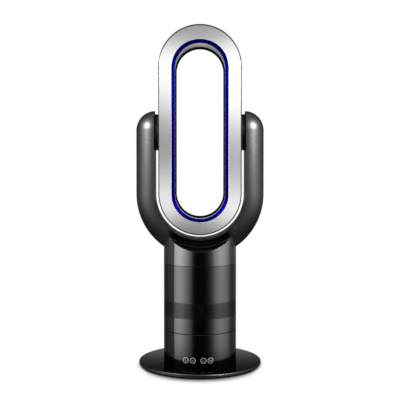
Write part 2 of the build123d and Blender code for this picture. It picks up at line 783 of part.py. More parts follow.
# ------------------------------------------------------------------ fan housing and intake grille
grille_outer = column_radius - 0.1
grille_inner = grille_outer - grille_thickness
recess_radius = grille_inner - running_fit
blower_screw_angles = (90, 210, 330)
blower_screw_circle = (ledge_inner + column_inner) / 2
blower_screw_points = on_circle(blower_screw_circle, blower_screw_angles)

with BuildPart() as fan_housing:
    tube(column_inner, column_radius, seam_height + turning_gap / 2, housing_top)
    outer_edges = fan_housing.edges().filter_by(GeomType.CIRCLE).group_by(Axis.Z)
    for level in (outer_edges[0], outer_edges[-1]):
        chamfer(level.sort_by(SortBy.RADIUS)[-1], edge_break)
    tube(recess_radius, column_radius + overcut, vent_bottom, vent_top, mode=Mode.SUBTRACT)
    window_width = 2 * pi * column_inner / window_count - window_rib
    with PolarLocations(column_inner, window_count, start_angle=window_start):
        with Locations((0, 0, vent_bottom + window_margin)):
            Box(window_cut, window_width, vent_height - 2 * window_margin, align=upright,
                mode=Mode.SUBTRACT)
    tube(ledge_inner, column_inner + edge_break, ledge_bottom, ledge_top)
    tube(column_inner - shelf_width, column_inner + edge_break, shelf_bottom, housing_top)
    pegs(column_screw_points, column_boss_radius, table_top, table_top + table_boss_height)
    pegs(column_screw_points, screw_radius + screw_play, table_top,
         table_top + table_boss_height, mode=Mode.SUBTRACT)
    pegs(column_screw_points, screw_radius + screw_play, shelf_bottom, housing_top,
         mode=Mode.SUBTRACT)
    pegs(blower_screw_points, screw_radius + screw_play, ledge_bottom, ledge_top,
         mode=Mode.SUBTRACT)
fan_housing.part.label = "fan_housing"
export_step(fan_housing.part, "parts/fan_housing.step")

with BuildPart() as intake_grille:
    tube(grille_inner, grille_outer, vent_bottom + running_fit, vent_top - running_fit)
    column_count = int(2 * pi * column_radius / grille_hole_pitch)
    row_count = int(vent_height / grille_row_pitch)
    low_row = (vent_bottom + vent_top - (row_count - 1) * grille_row_pitch) / 2
    holes = []
    for row in range(row_count):
        for column in range(column_count):
            turn = (column + 0.5 * (row % 2)) * 360 / column_count
            spot = Location((0, 0, low_row + row * grille_row_pitch), (0, 0, turn))
            holes.append(spot * Location((grille_outer, 0, 0), (0, 90, 0)))
    with Locations(*holes):
        Cylinder(grille_hole_radius, 4 * grille_thickness, mode=Mode.SUBTRACT)
intake_grille.part.label = "intake_grille"
export_step(intake_grille.part, "parts/intake_grille.step")

# ------------------------------------------------------------------ blower
with BuildPart() as blower_seal:
    tube(ledge_inner + side_gap, column_inner - side_gap, ledge_top, flange_bottom)
    pegs(blower_screw_points, screw_radius + screw_play, ledge_top, flange_bottom,
         mode=Mode.SUBTRACT)
blower_seal.part.label = "blower_seal"
export_step(blower_seal.part, "parts/blower_seal.step")

with BuildPart() as blower_housing:
    bell_bottom = flange_bottom - bell_height
    with BuildSketch(Plane.XZ):
        with BuildLine():
            throat = (throat_radius, flange_bottom)
            mouth = (duct_radius, bell_bottom)
            bell = RadiusArc(mouth, throat, -bell_curve)
            Polyline(
                throat, (duct_inner, taper_top), (duct_inner, duct_top),
                (duct_radius, duct_top), (duct_radius, flange_top),
                (column_inner - side_gap, flange_top), (column_inner - side_gap, flange_bottom),
                (throat_radius + 2 * duct_wall, flange_bottom),
                (duct_radius + duct_wall, bell_bottom + duct_wall),
                (duct_radius + duct_wall, bell_bottom), mouth,
            )
        make_face()
    revolve(axis=Axis.Z)
    pegs(blower_screw_points, screw_radius + screw_play, flange_bottom, flange_top,
         mode=Mode.SUBTRACT)
blower_housing.part.label = "blower_housing"
export_step(blower_housing.part, "parts/blower_housing.step")

with BuildPart() as blower_screws:
    pegs(blower_screw_points, screw_radius, ledge_bottom, flange_top)
    pegs(blower_screw_points, screw_head, flange_top, flange_top + screw_head_rise)
blower_screws.part.label = "blower_screws"
export_step(blower_screws.part, "parts/blower_screws.step")


def curved_blade(inner_reach, outer_reach, sweep, curve, thickness):
    """Plan of one blade: a thin strip between two arcs, from near the axis outwards."""
    with BuildSketch() as blade:
        with BuildLine():
            tip = sqrt(outer_reach ** 2 - sweep ** 2)
            leading = RadiusArc((inner_reach, 0), (tip, sweep), curve)
            trailing = RadiusArc((tip, sweep - thickness), (inner_reach, -thickness), -curve)
            Line(leading @ 1, trailing @ 0)
            Line(trailing @ 1, leading @ 0)
        make_face()
    return blade.sketch


def blade_ring(blade, count, bottom, top):
    """Upright blades at equal turns about the axis."""
    with BuildSketch(Plane.XY.offset(bottom)) as plan:
        with PolarLocations(0, count):
            add(blade)
    extrude(plan.sketch, amount=top - bottom)


ring_bottom = bucket_bottom + vane_rise
diffuser_inner = duct_inner - diffuser_rim
with BuildPart() as diffuser:
    vane = curved_blade(bucket_radius - vane_root, diffuser_inner + vane_tip, vane_sweep,
                        vane_curve, vane_thickness)
    blade_ring(vane, vane_count, ring_bottom, duct_top - vane_drop)
    tube(bucket_radius - bucket_wall, bucket_radius, bucket_bottom, bucket_top)
    tube(0, bucket_radius - bucket_wall, motor_floor, bucket_top, mode=Mode.SUBTRACT)
    tube(motor_neck_radius + motor_neck_gap, bucket_radius, bucket_bottom, motor_floor)
    tube(diffuser_inner, duct_inner - running_fit, ring_bottom, duct_top)
diffuser.part.label = "diffuser"
export_step(diffuser.part, "parts/diffuser.step")

sleeve_bottom = motor_floor + sleeve_rise
with BuildPart() as motor_sleeve:
    tube(blower_motor_radius + running_fit, bucket_radius - bucket_wall - running_fit,
         sleeve_bottom, bucket_top - sleeve_drop)
motor_sleeve.part.label = "motor_sleeve"
export_step(motor_sleeve.part, "parts/motor_sleeve.step")

with BuildPart() as blower_motor:
    tube(0, blower_motor_radius, motor_floor, motor_floor + blower_motor_height)
    can_edges = blower_motor.edges().filter_by(GeomType.CIRCLE)
    fillet(can_edges, motor_can_round)
    tube(0, motor_neck_radius, bucket_bottom + side_gap, motor_floor)
    tube(0, blower_shaft_radius + running_fit, bucket_bottom,
         motor_floor + blower_motor_height - shaft_bore_end, mode=Mode.SUBTRACT)
blower_motor.part.label = "blower_motor"
export_step(blower_motor.part, "parts/blower_motor.step")

with BuildPart() as motor_cap:
    tube(0, bucket_radius, bucket_top, bucket_top + cap_height)
    fillet(motor_cap.edges().filter_by(GeomType.CIRCLE).group_by(Axis.Z)[-1], cap_height - cap_wall)
    tube(0, bucket_radius - cap_height + cap_wall, bucket_top, bucket_top + cap_height - cap_wall,
         mode=Mode.SUBTRACT)
motor_cap.part.label = "motor_cap"
export_step(motor_cap.part, "parts/motor_cap.step")

with BuildPart() as impeller:
    blade_low = impeller_bottom + blade_rise
    tip_slope = (duct_inner - throat_radius) / (taper_top - flange_bottom)
    blade = curved_blade(hub_low_radius - blade_root, duct_inner, blade_sweep, blade_curve,
                         blade_thickness)
    blade_ring(blade, blade_count, blade_low, impeller_top)
    with BuildSketch(Plane.XZ):
        low_tip = throat_radius - blade_gap + tip_slope * (blade_low - flange_bottom)
        high_tip = throat_radius - blade_gap + tip_slope * (impeller_top - flange_bottom)
        Polygon((0, blade_low), (low_tip, blade_low), (high_tip, impeller_top), (0, impeller_top))
    revolve(axis=Axis.Z, mode=Mode.INTERSECT)
    with BuildSketch(Plane.XZ):
        Polygon(
            (0, impeller_bottom), (hub_low_radius - hub_low_round, impeller_bottom),
            (hub_low_radius, blade_low), (hub_high_radius, impeller_top), (0, impeller_top),
        )
    revolve(axis=Axis.Z)
    with BuildSketch(Plane.XZ):
        pocket_floor = blade_low + hub_floor
        hub_slope = (hub_high_radius - hub_low_radius) / (impeller_top - blade_low)
        pocket_low_radius = hub_low_radius + hub_slope * hub_floor - 1.5 * hub_wall
        Polygon(
            (hub_core_radius, pocket_floor), (pocket_low_radius, pocket_floor),
            (hub_high_radius - 1.5 * hub_wall, impeller_top), (hub_core_radius, impeller_top),
        )
    revolve(axis=Axis.Z, mode=Mode.SUBTRACT)
    tube(0, blower_shaft_radius + running_fit, impeller_bottom, impeller_top, mode=Mode.SUBTRACT)
impeller.part.label = "impeller"
export_step(impeller.part, "parts/impeller.step")

with BuildPart() as impeller_shaft:
    tube(0, blower_shaft_radius, impeller_bottom - nut_height - shaft_end_gap,
         motor_floor + blower_motor_height - shaft_bore_end - shaft_end_gap)
impeller_shaft.part.label = "impeller_shaft"
export_step(impeller_shaft.part, "parts/impeller_shaft.step")

with BuildPart() as impeller_nut:
    with BuildSketch(Plane.XY.offset(impeller_bottom - nut_height)):
        RegularPolygon(hexagon(nut_width), 6)
        Circle(blower_shaft_radius + running_fit, mode=Mode.SUBTRACT)
    extrude(amount=nut_height)
impeller_nut.part.label = "impeller_nut"
export_step(impeller_nut.part, "parts/impeller_nut.step")

# ------------------------------------------------------------------ yoke shells
yoke_mid_radius = yoke_inner_radius + yoke_screw_inset
yoke_screw_points = [
    (s * yoke_mid_radius, yoke_centre_height + rise) for s in (-1, 1) for rise in yoke_screw_rises
]
yoke_screw_points += [
    (s * yoke_mid_radius * cos(radians(yoke_screw_arc_angle)),
     yoke_centre_height - yoke_mid_radius * sin(radians(yoke_screw_arc_angle)))
    for s in (-1, 1)
]
yoke_boss_radius = screw_radius + yoke_boss_wall
yoke_head_boss_radius = screw_head + yoke_boss_wall
head_seat = yoke_half_depth / 2
collar_boss_height = 16.0
bush_flange_inner = yoke_inner_radius + yoke_wall


def collar_volume(inset, bottom):
    """Collar with its saddle top, drawn in from its surface by an inset."""
    tube(0, column_radius - inset, bottom, yoke_centre_height)
    axis = Axis((0, 0, yoke_centre_height), (0, 1, 0))
    revolve(saddle_section(inset), axis=axis, mode=Mode.SUBTRACT)


with BuildPart() as yoke_outside:
    collar_volume(0, housing_top)
    collar_edges = yoke_outside.edges().filter_by(GeomType.CIRCLE).group_by(Axis.Z)[0]
    chamfer(collar_edges, edge_break)
    yoke_volume(0)

with BuildPart() as yoke_inside:
    collar_volume(column_wall, housing_top - overcut)
    yoke_volume(yoke_wall)

with BuildPart() as yoke_bosses:
    cross_pegs(yoke_screw_points, yoke_boss_radius, -yoke_half_depth, 0)
    cross_pegs(yoke_screw_points, yoke_head_boss_radius, 0, yoke_half_depth)
    pegs(column_screw_points, column_boss_radius, housing_top, housing_top + collar_boss_height)
    add(yoke_outside.part, mode=Mode.INTERSECT)

with BuildPart() as yoke_body:
    add(yoke_outside.part)
    add(yoke_inside.part, mode=Mode.SUBTRACT)
    add(yoke_bosses.part)
    cross_pegs(yoke_screw_points, screw_radius + screw_play, -yoke_pilot_depth,
               head_seat, mode=Mode.SUBTRACT)
    cross_pegs(yoke_screw_points, screw_head + screw_play, head_seat, yoke_half_depth + overcut,
               mode=Mode.SUBTRACT)
    pegs(column_screw_points, screw_radius + screw_play, housing_top,
         housing_top + collar_boss_height, mode=Mode.SUBTRACT)
    for side in (-1, 1):
        side_pegs(side, axle, bush_hole + running_fit, yoke_inner_radius - overcut,
                  bush_flange_inner + overcut, mode=Mode.SUBTRACT)

with BuildPart() as yoke_front_shell:
    add(yoke_body.part)
    split(bisect_by=Plane.XZ, keep=Keep.TOP)
yoke_front_shell.part.label = "yoke_front_shell"
export_step(yoke_front_shell.part, "parts/yoke_front_shell.step")

with BuildPart() as yoke_rear_shell:
    add(yoke_body.part)
    split(bisect_by=Plane.XZ, keep=Keep.BOTTOM)
yoke_rear_shell.part.label = "yoke_rear_shell"
export_step(yoke_rear_shell.part, "parts/yoke_rear_shell.step")

with BuildPart() as yoke_screws:
    cross_pegs(yoke_screw_points, screw_radius, -yoke_screw_depth, head_seat)
    cross_pegs(yoke_screw_points, screw_head, head_seat, head_seat + screw_head_rise)
yoke_screws.part.label = "yoke_screws"
export_step(yoke_screws.part, "parts/yoke_screws.step")

with BuildPart() as collar_screws:
    pegs(column_screw_points, screw_radius, shelf_bottom,
         housing_top + collar_boss_height - screw_reserve)
    pegs(column_screw_points, screw_head, shelf_bottom - screw_head_rise, shelf_bottom)
collar_screws.part.label = "collar_screws"
export_step(collar_screws.part, "parts/collar_screws.step")

with BuildPart() as hub_bushes:
    for side in (-1, 1):
        side_pegs(side, axle, bush_hole, yoke_inner_radius, yoke_inner_radius + hub_bush_length)
        side_pegs(side, axle, bush_hole + hub_bush_flange, bush_flange_inner,
                  bush_flange_inner + hub_bush_thickness)
        side_pegs(side, axle, journal_radius + running_fit, yoke_inner_radius,
                  yoke_inner_radius + hub_bush_length, mode=Mode.SUBTRACT)
hub_bushes.part.label = "hub_bushes"
export_step(hub_bushes.part, "parts/hub_bushes.step")

# ------------------------------------------------------------------ ring shells
post_radius = ring_outer_radius - ring_post_inset
post_points = [
    (side * post_radius, ring_low_centre + share * ring_straight)
    for side in (-1, 1) for share in side_post_shares
]
post_points += [
    (side * post_radius * sin(radians(angle)), centre + up * post_radius * cos(radians(angle)))
    for centre, up in ((ring_low_centre, -1), (ring_high_centre, 1))
    for side, angle in ((-1, curve_post_angle), (1, curve_post_angle))
]
post_end = ring_half_depth - shell_wall
screw_seat = ring_half_depth - ring_screw_sink

with BuildPart() as ring_bezel:
    with BuildSketch() as bezel_section:
        inner_run = bezel_inner_radius + bezel_thickness + side_gap
        Polygon(
            (bezel_inner_radius, -ring_half_depth),
            (ring_outer_radius - bezel_bevel, -ring_half_depth),
            (ring_outer_radius, -ring_half_depth + bezel_bevel),
            (ring_outer_radius, bezel_back),
            (inner_run, bezel_back),
        )
    round_the_ring(bezel_section.sketch)
    cross_pegs(post_points, ring_post_radius, bezel_back, post_end - side_gap)
    cross_pegs(post_points, screw_radius + screw_play,
               post_end - ring_screw_reach - ring_screw_spare, post_end, mode=Mode.SUBTRACT)
ring_bezel.part.label = "ring_bezel"
export_step(ring_bezel.part, "parts/ring_bezel.step")

slope_run = trim_front_radius - trim_inner_radius
slope_rise = trim_front_depth - trim_inner_depth
slope_length = sqrt(slope_run ** 2 + slope_rise ** 2)
normal = (slope_rise / slope_length, slope_run / slope_length)

with BuildPart() as accent_trim:
    with BuildSketch() as trim_section:
        front = (trim_front_radius, -trim_front_depth)
        inner = (trim_inner_radius, -trim_inner_depth)
        Polygon(
            front, inner,
            (inner[0] + trim_thickness * normal[0], inner[1] + trim_thickness * normal[1]),
            (front[0] + trim_thickness * normal[0], front[1] + trim_thickness * normal[1]),
        )
    round_the_ring(trim_section.sketch)
accent_trim.part.label = "accent_trim"
export_step(accent_trim.part, "parts/accent_trim.step")

web_front = trim_inner_radius + trim_thickness * normal[0]
web_depth = trim_inner_depth - trim_thickness * normal[1] - 2 * running_fit
web_slope = slope_run / slope_rise
web_meeting = web_front + web_slope * (-bezel_back - web_depth)
flange_reach = post_radius - ring_post_radius - side_gap

with BuildPart() as inner_wall:
    with BuildSketch() as wall_section:
        with BuildLine():
            air_side = Line((wall_front_radius, -web_depth), (wall_rear_radius, wall_rear_depth))
            flare_end = (wall_rear_radius + rear_flare, wall_rear_depth + flare_run)
            flare = TangentArc(air_side @ 1, flare_end, tangent=air_side % 1)
            flare_back = (flare_end[0] + wall_thickness, flare_end[1] - wall_thickness / 2)
            back_start = (wall_rear_radius + wall_thickness, wall_rear_depth)
            Line(flare_end, flare_back)
            back_flare = TangentArc(back_start, flare_back, tangent=air_side % 1)
            Polyline(
                back_start,
                (wall_front_radius + wall_thickness, -web_depth + 2 * wall_thickness),
                (web_meeting + web_step, bezel_back + wall_thickness),
                (flange_reach, bezel_back + wall_thickness),
                (flange_reach, bezel_back),
                (web_meeting, bezel_back),
                (web_front + running_fit, -web_depth),
                (wall_front_radius, -web_depth),
            )
        make_face()
    round_the_ring(wall_section.sketch)
inner_wall.part.label = "inner_wall"
export_step(inner_wall.part, "parts/inner_wall.step")

lip_bend_radius = lip_radius + lip_bend
lip_bend_depth = ring_half_depth - lip_bend
shell_corner_radius = ring_outer_radius - shell_corner
shell_joint_radius = lip_bend_radius + shell_joint_lap

hub_screw_points = [
    (y, pivot_height + z) for y, z in on_circle(hub_screw_circle, hub_screw_angles)
]

with BuildPart() as outer_shell:
    with BuildSketch() as shell_section:
        with BuildLine():
            corner_depth = ring_half_depth - shell_corner
            inside = ring_outer_radius - shell_wall
            side_line = Line((ring_outer_radius, bezel_back), (ring_outer_radius, corner_depth))
            corner = CenterArc((shell_corner_radius, corner_depth), shell_corner, 0, quarter_turn)
            inner_corner = CenterArc((shell_corner_radius, corner_depth),
                                     shell_corner - shell_wall, 0, quarter_turn)
            Polyline(
                corner @ 1, (shell_joint_radius, ring_half_depth),
                (shell_joint_radius, ring_half_depth - shell_wall), inner_corner @ 1,
            )
            Polyline(
                inner_corner @ 0, (inside, bezel_back + shell_wall),
                (ring_outer_radius - shell_flange, bezel_back + shell_wall),
                (ring_outer_radius - shell_flange, bezel_back), (ring_outer_radius, bezel_back),
            )
        make_face()
    round_the_ring(shell_section.sketch)
    cross_pegs(post_points, screw_radius + screw_play, 0, ring_half_depth,
               mode=Mode.SUBTRACT)
    cross_pegs(post_points, screw_head + screw_play, screw_seat, ring_half_depth + overcut,
               mode=Mode.SUBTRACT)
    for side in (-1, 1):
        side_pegs(side, axle, journal_bore, ring_outer_radius - 2 * shell_wall,
                  ring_outer_radius + overcut, mode=Mode.SUBTRACT)
        side_pegs(side, hub_screw_points, screw_radius + screw_play,
                  ring_outer_radius - 2 * shell_wall, ring_outer_radius + overcut,
                  mode=Mode.SUBTRACT)
outer_shell.part.label = "outer_shell"
export_step(outer_shell.part, "parts/outer_shell.step")

with BuildPart() as rear_lip:
    with BuildSketch() as lip_section:
        with BuildLine():
            nose_depth = lip_bend_depth - lip_reach
            lip_side = Line((lip_radius, nose_depth), (lip_radius, lip_bend_depth))
            bend = CenterArc((lip_bend_radius, lip_bend_depth), lip_bend, 180, -quarter_turn)
            inner_bend = CenterArc((lip_bend_radius, lip_bend_depth),
                                   lip_bend - lip_thickness, 180, -quarter_turn)
            Polyline(
                bend @ 1, (shell_joint_radius, ring_half_depth),
                (shell_joint_radius, ring_half_depth - lip_thickness), inner_bend @ 1,
            )
            back_line = Line(inner_bend @ 0, (lip_back_radius, nose_depth))
            ThreePointArc(back_line @ 1, (lip_radius + lip_thickness / 2,
                                          nose_depth - lip_thickness / 2), lip_side @ 0)
        make_face()
    round_the_ring(lip_section.sketch)
    rib_reach = lip_back_radius + rib_radius - running_fit
    rib_points = [
        (side * rib_reach, ring_low_centre + share * ring_straight)
        for side in (-1, 1) for share in side_rib_shares
    ]
    rib_points += [
        (rib_reach * sin(radians(angle)), centre + up * rib_reach * cos(radians(angle)))
        for centre, up in ((ring_low_centre, -1), (ring_high_centre, 1))
        for angle in curve_rib_angles
    ]
    rib_front = nose_depth + lip_thickness / 2
    cross_pegs(rib_points, rib_radius, rib_front, rib_front + rib_length)
rear_lip.part.label = "rear_lip"
export_step(rear_lip.part, "parts/rear_lip.step")

with BuildPart() as ring_screws:
    cross_pegs(post_points, screw_radius, post_end - ring_screw_reach, screw_seat)
    cross_pegs(post_points, screw_head, screw_seat, ring_half_depth - face_gap)
ring_screws.part.label = "ring_screws"
export_step(ring_screws.part, "parts/ring_screws.step")

# ------------------------------------------------------------------ hubs between ring and arms
disc_outer = yoke_inner_radius - side_gap - 0.1
journal_end = yoke_inner_radius + journal_reach
clip_near = yoke_inner_radius + hub_bush_length + side_gap
clip_far = clip_near + clip_thickness
friction_inner = friction_radius - friction_width / 2
friction_outer = friction_radius + friction_width / 2
sides = {"left_hub": -1, "right_hub": 1}


def side_ring(side, inner, outer, near, far, mode=Mode.ADD):
    """Add or cut a ring about the pivot axis on one side."""
    with BuildSketch(Plane.YZ.offset(side * near)) as section:
        with Locations(*axle):
            Circle(outer)
            Circle(inner, mode=Mode.SUBTRACT)
    extrude(section.sketch, amount=side * (far - near), mode=mode)


for hub_name, side in sides.items():
    with BuildPart() as hub:
        side_pegs(side, axle, hub_disc_radius, ring_outer_radius, disc_outer)
        disc_edges = hub.edges().filter_by(GeomType.CIRCLE)
        fillet(disc_edges, hub_disc_round)
        side_pegs(side, axle, journal_radius, disc_outer, journal_end)
        side_pegs(side, axle, journal_bore, ring_outer_radius, journal_end, mode=Mode.SUBTRACT)
        side_ring(side, journal_radius - clip_depth, journal_radius + overcut,
                  clip_near - running_fit, clip_far + running_fit, mode=Mode.SUBTRACT)
        side_ring(side, friction_inner - running_fit, friction_outer + running_fit,
                  disc_outer - friction_depth, disc_outer, mode=Mode.SUBTRACT)
        side_pegs(side, hub_screw_points, screw_radius + screw_play, ring_outer_radius,
                  disc_outer - friction_depth - hub_screw_spare, mode=Mode.SUBTRACT)
    hub.part.label = hub_name
    export_step(hub.part, f"parts/{hub_name}.step")

with BuildPart() as friction_rings:
    for side in (-1, 1):
        side_ring(side, friction_inner, friction_outer, disc_outer - friction_depth,
                  yoke_inner_radius - face_gap)
friction_rings.part.label = "friction_rings"
export_step(friction_rings.part, "parts/friction_rings.step")

with BuildPart() as retaining_rings:
    for side in (-1, 1):
        clip_inner = journal_radius - clip_depth + running_fit
        side_ring(side, clip_inner, journal_radius + clip_rise, clip_near, clip_far)
        gap_reach = (clip_near + clip_far) / 2
        with Locations((side * gap_reach, 0, pivot_height + journal_radius)):
            Box(2 * clip_thickness, clip_opening, 2 * (clip_depth + clip_rise),
                mode=Mode.SUBTRACT)
retaining_rings.part.label = "retaining_rings"
export_step(retaining_rings.part, "parts/retaining_rings.step")

with BuildPart() as hub_screws:
    wall_inside = ring_outer_radius - shell_wall
    for side in (-1, 1):
        side_pegs(side, hub_screw_points, screw_radius, wall_inside,
                  disc_outer - friction_depth - hub_screw_short)
        side_pegs(side, hub_screw_points, screw_head, wall_inside - screw_head_rise,
                  wall_inside)
hub_screws.part.label = "hub_screws"
export_step(hub_screws.part, "parts/hub_screws.step")

# ------------------------------------------------------------------ push buttons
tab_height = 2 * (button_radius + button_tab_rise)
stem_end = plunger_front - button_travel - face_gap


def button_icon(name, x):
    """Ring and glyph of a button, drawn in the front view at the button's place."""
    with BuildSketch(Plane.XZ) as icon:
        with Locations((x, button_z)):
            Circle(icon_radius)
            Circle(icon_radius - icon_line, mode=Mode.SUBTRACT)
            if name == "power":
                Circle(dial_radius)
                Circle(dial_radius - icon_line, mode=Mode.SUBTRACT)
                with Locations((0, dial_gap_rise)):
                    Rectangle(dial_gap, dial_gap_height, mode=Mode.SUBTRACT)
                with Locations((0, dial_stroke_rise)):
                    Rectangle(icon_line, dial_stroke)
            elif name == "swing":
                with Locations((0, bar_rise), (0, -bar_rise)):
                    Rectangle(bar_length, icon_line)
            else:
                Rectangle(bar_length, icon_line)
                if name == "up":
                    Rectangle(icon_line, bar_length)
    return icon.sketch


for name, x in zip(button_names, button_x):
    tab_reach = abs(x) + button_tab_width / 2
    tab_front = -sqrt(column_inner ** 2 - tab_reach ** 2) + side_gap
    tab_back = tab_front + button_tab_thickness

    with BuildPart() as icon:
        extrude(button_icon(name, x), amount=column_radius + overcut)
        tube(column_radius - icon_depth, column_radius, plate_top, seam_height,
             mode=Mode.INTERSECT)
    icon.part.label = f"icon_{name}"
    export_step(icon.part, f"parts/icon_{name}.step")

    with BuildPart() as button:
        cross_pegs([(x, button_z)], button_radius, -column_radius - overcut, tab_front)
        tube(0, column_radius, plate_top, seam_height, mode=Mode.INTERSECT)
        with Locations((x, tab_front + button_tab_thickness / 2, button_z)):
            Box(button_tab_width, button_tab_thickness, tab_height)
        cross_pegs([(x, button_z)], button_stem_radius, tab_back, stem_end)
        add(icon.part, mode=Mode.SUBTRACT)
    button.part.label = f"button_{name}"
    export_step(button.part, f"parts/button_{name}.step")
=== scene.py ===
"""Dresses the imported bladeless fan: its finishes, its finest pieces and the studio round it."""

import json
from math import asin, atan, cos, hypot, pi, radians, sin, sqrt

import bmesh
import bpy
from mathutils import Matrix, Vector


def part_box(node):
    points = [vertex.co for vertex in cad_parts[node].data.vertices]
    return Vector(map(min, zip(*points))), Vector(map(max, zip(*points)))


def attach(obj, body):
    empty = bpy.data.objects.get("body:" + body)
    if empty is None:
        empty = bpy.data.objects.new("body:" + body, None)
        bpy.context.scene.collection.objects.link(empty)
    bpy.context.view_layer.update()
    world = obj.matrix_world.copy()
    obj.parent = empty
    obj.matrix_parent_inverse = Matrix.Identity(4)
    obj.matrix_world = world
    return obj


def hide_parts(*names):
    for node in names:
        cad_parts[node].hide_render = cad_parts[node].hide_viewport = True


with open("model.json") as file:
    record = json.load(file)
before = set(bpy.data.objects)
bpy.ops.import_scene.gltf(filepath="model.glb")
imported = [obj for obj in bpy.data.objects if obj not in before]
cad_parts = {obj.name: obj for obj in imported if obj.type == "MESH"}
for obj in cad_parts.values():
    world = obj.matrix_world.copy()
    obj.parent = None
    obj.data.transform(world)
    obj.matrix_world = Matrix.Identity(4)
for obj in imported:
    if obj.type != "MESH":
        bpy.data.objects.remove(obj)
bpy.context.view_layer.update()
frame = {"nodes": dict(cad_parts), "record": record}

MM = 0.001


# ---------------------------------------------------------------- shader maths
class Amount:
    """What a socket gives, used in sums: each operator adds the Math node that it needs."""

    def __init__(self, graph, socket):
        self.graph = graph
        self.socket = socket

    def math(self, operation, *others):
        return self.graph.node("ShaderNodeMath", {"operation": operation}, [self, *others])

    def back(self, operation, other):
        return self.graph.node("ShaderNodeMath", {"operation": operation}, [other, self])

    def __add__(self, other):
        return self.math("ADD", other)

    def __radd__(self, other):
        return self.back("ADD", other)

    def __sub__(self, other):
        return self.math("SUBTRACT", other)

    def __rsub__(self, other):
        return self.back("SUBTRACT", other)

    def __mul__(self, other):
        return self.math("MULTIPLY", other)

    def __rmul__(self, other):
        return self.back("MULTIPLY", other)

    def __truediv__(self, other):
        return self.math("DIVIDE", other)

    def __rtruediv__(self, other):
        return self.back("DIVIDE", other)

    def __neg__(self):
        return self.back("SUBTRACT", 0.0)


class Graph:
    """A node tree that is filled one node at a time."""

    def __init__(self, tree):
        self.tree = tree
        tree.nodes.clear()

    def node(self, kind, settings=None, sockets=(), output=0):
        """Adds a node: its settings come first, then the values or links of its sockets."""
        made = self.tree.nodes.new(kind)
        for name, value in (settings or {}).items():
            if name == "stops":
                elements = made.color_ramp.elements
                while len(elements) < len(value):
                    elements.new(1.0)
                for element, (place, colour) in zip(elements, value):
                    element.position = place
                    element.color = grey(colour)
            else:
                setattr(made, name, value)
        named = sockets.items() if isinstance(sockets, dict) else enumerate(sockets)
        for name, value in named:
            if isinstance(value, Amount):
                self.tree.links.new(value.socket, made.inputs[name])
            else:
                made.inputs[name].default_value = value
        return Amount(self, made.outputs[output]) if made.outputs else made

    def along(self, vector, axis):
        """One of the three numbers of a vector."""
        return self.node("ShaderNodeSeparateXYZ", {}, [vector], axis)

    def step(self, value, low, high):
        """Smooth step from 0 at low to 1 at high."""
        return self.node(
            "ShaderNodeMapRange", {"interpolation_type": "SMOOTHSTEP"},
            {"Value": value, "From Min": low, "From Max": high},
        )

    def blend(self, share, first, second):
        """Colour between two colours by a share."""
        return self.node(
            "ShaderNodeMix", {"data_type": "RGBA"}, {0: share, 6: first, 7: second}, 2,
        )

    def curve(self, value, *stops):
        """Level read off a line through stops, each of them a place and its level."""
        low, high = stops[0][0], stops[-1][0]
        top = max(level for place, level in stops)
        scaled = [((place - low) / (high - low), level / top) for place, level in stops]
        share = (value - low) / (high - low)
        return top * self.node("ShaderNodeValToRGB", {"stops": scaled}, [share])


def grey(value):
    """Colour with full alpha from a number or from three numbers."""
    return (*value, 1.0) if isinstance(value, tuple) else (value, value, value, 1.0)


class Finish(Graph):
    """One material, with its coordinates in the part's own frame."""

    def __init__(self, name, **constants):
        self.material = bpy.data.materials.new(name)
        self.material.use_nodes = True
        super().__init__(self.material.node_tree)
        self.shader = self.tree.nodes.new("ShaderNodeBsdfPrincipled")
        output = self.tree.nodes.new("ShaderNodeOutputMaterial")
        self.tree.links.new(self.shader.outputs[0], output.inputs["Surface"])
        for socket, value in constants.items():
            self.shader.inputs[socket.replace("_", " ")].default_value = value
        self.place = self.node("ShaderNodeTexCoord", output="Object")

    def noise(self, size, detail=2.0, stretch=(1, 1, 1)):
        """Noise from 0 to 1 whose blotches are about a size in metres across."""
        place = self.place
        if stretch != (1, 1, 1):
            place = self.node("ShaderNodeMapping", {}, {"Vector": place, "Scale": stretch})
        return self.node(
            "ShaderNodeTexNoise", {}, {"Vector": place, "Scale": 1 / size, "Detail": detail},
        )

    def cells(self, size):
        """Random number for each flake-sized cell, from 0 to 1."""
        colour = self.node(
            "ShaderNodeTexVoronoi", {}, {"Vector": self.place, "Scale": 1 / size}, "Color",
        )
        return self.node("ShaderNodeSeparateColor", {}, [colour])

    def paint(self, socket, value):
        self.tree.links.new(value.socket, self.shader.inputs[socket])

    def relief(self, height, depth):
        """Bump with a real depth in metres."""
        self.paint("Normal", self.node(
            "ShaderNodeBump", {}, {"Strength": 1.0, "Distance": depth, "Height": height},
        ))


# ---------------------------------------------------------------- finishes
COLUMN_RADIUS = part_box("fan_housing")[1].x
PLATE_TOP = 7.0 * MM
SADDLE_ROOT = 231.8 * MM
FORK_HALF_DEPTH = 39.0 * MM
ARM_START, ARM_FULL = 45.0 * MM, 66.0 * MM


def moulded(name, dark, light, rough, spread, grain, depth, **constants):
    """Moulded plastic or rubber: faint mottling, uneven sheen and a fine grain."""
    finish = Finish(name, **constants)
    blotches = finish.noise(0.03, 4.0)
    finish.paint("Base Color", finish.blend(blotches, grey(dark), grey(light)))
    finish.paint("Roughness", rough + spread * (finish.noise(0.012, 3.0) - 0.5))
    finish.relief(finish.noise(grain), depth)
    return finish.material


def flaked(name, dark, light, rough, spread, flake, depth, **constants):
    """Paint with fine metal flakes and a faintly uneven sheen."""
    finish = Finish(name, **constants)
    sparkle = finish.cells(flake)
    finish.paint("Base Color", finish.blend(sparkle * sparkle, grey(dark), grey(light)))
    finish.paint("Roughness", rough + spread * (finish.noise(0.02, 3.0) - 0.5))
    finish.relief(sparkle, depth)
    return finish.material


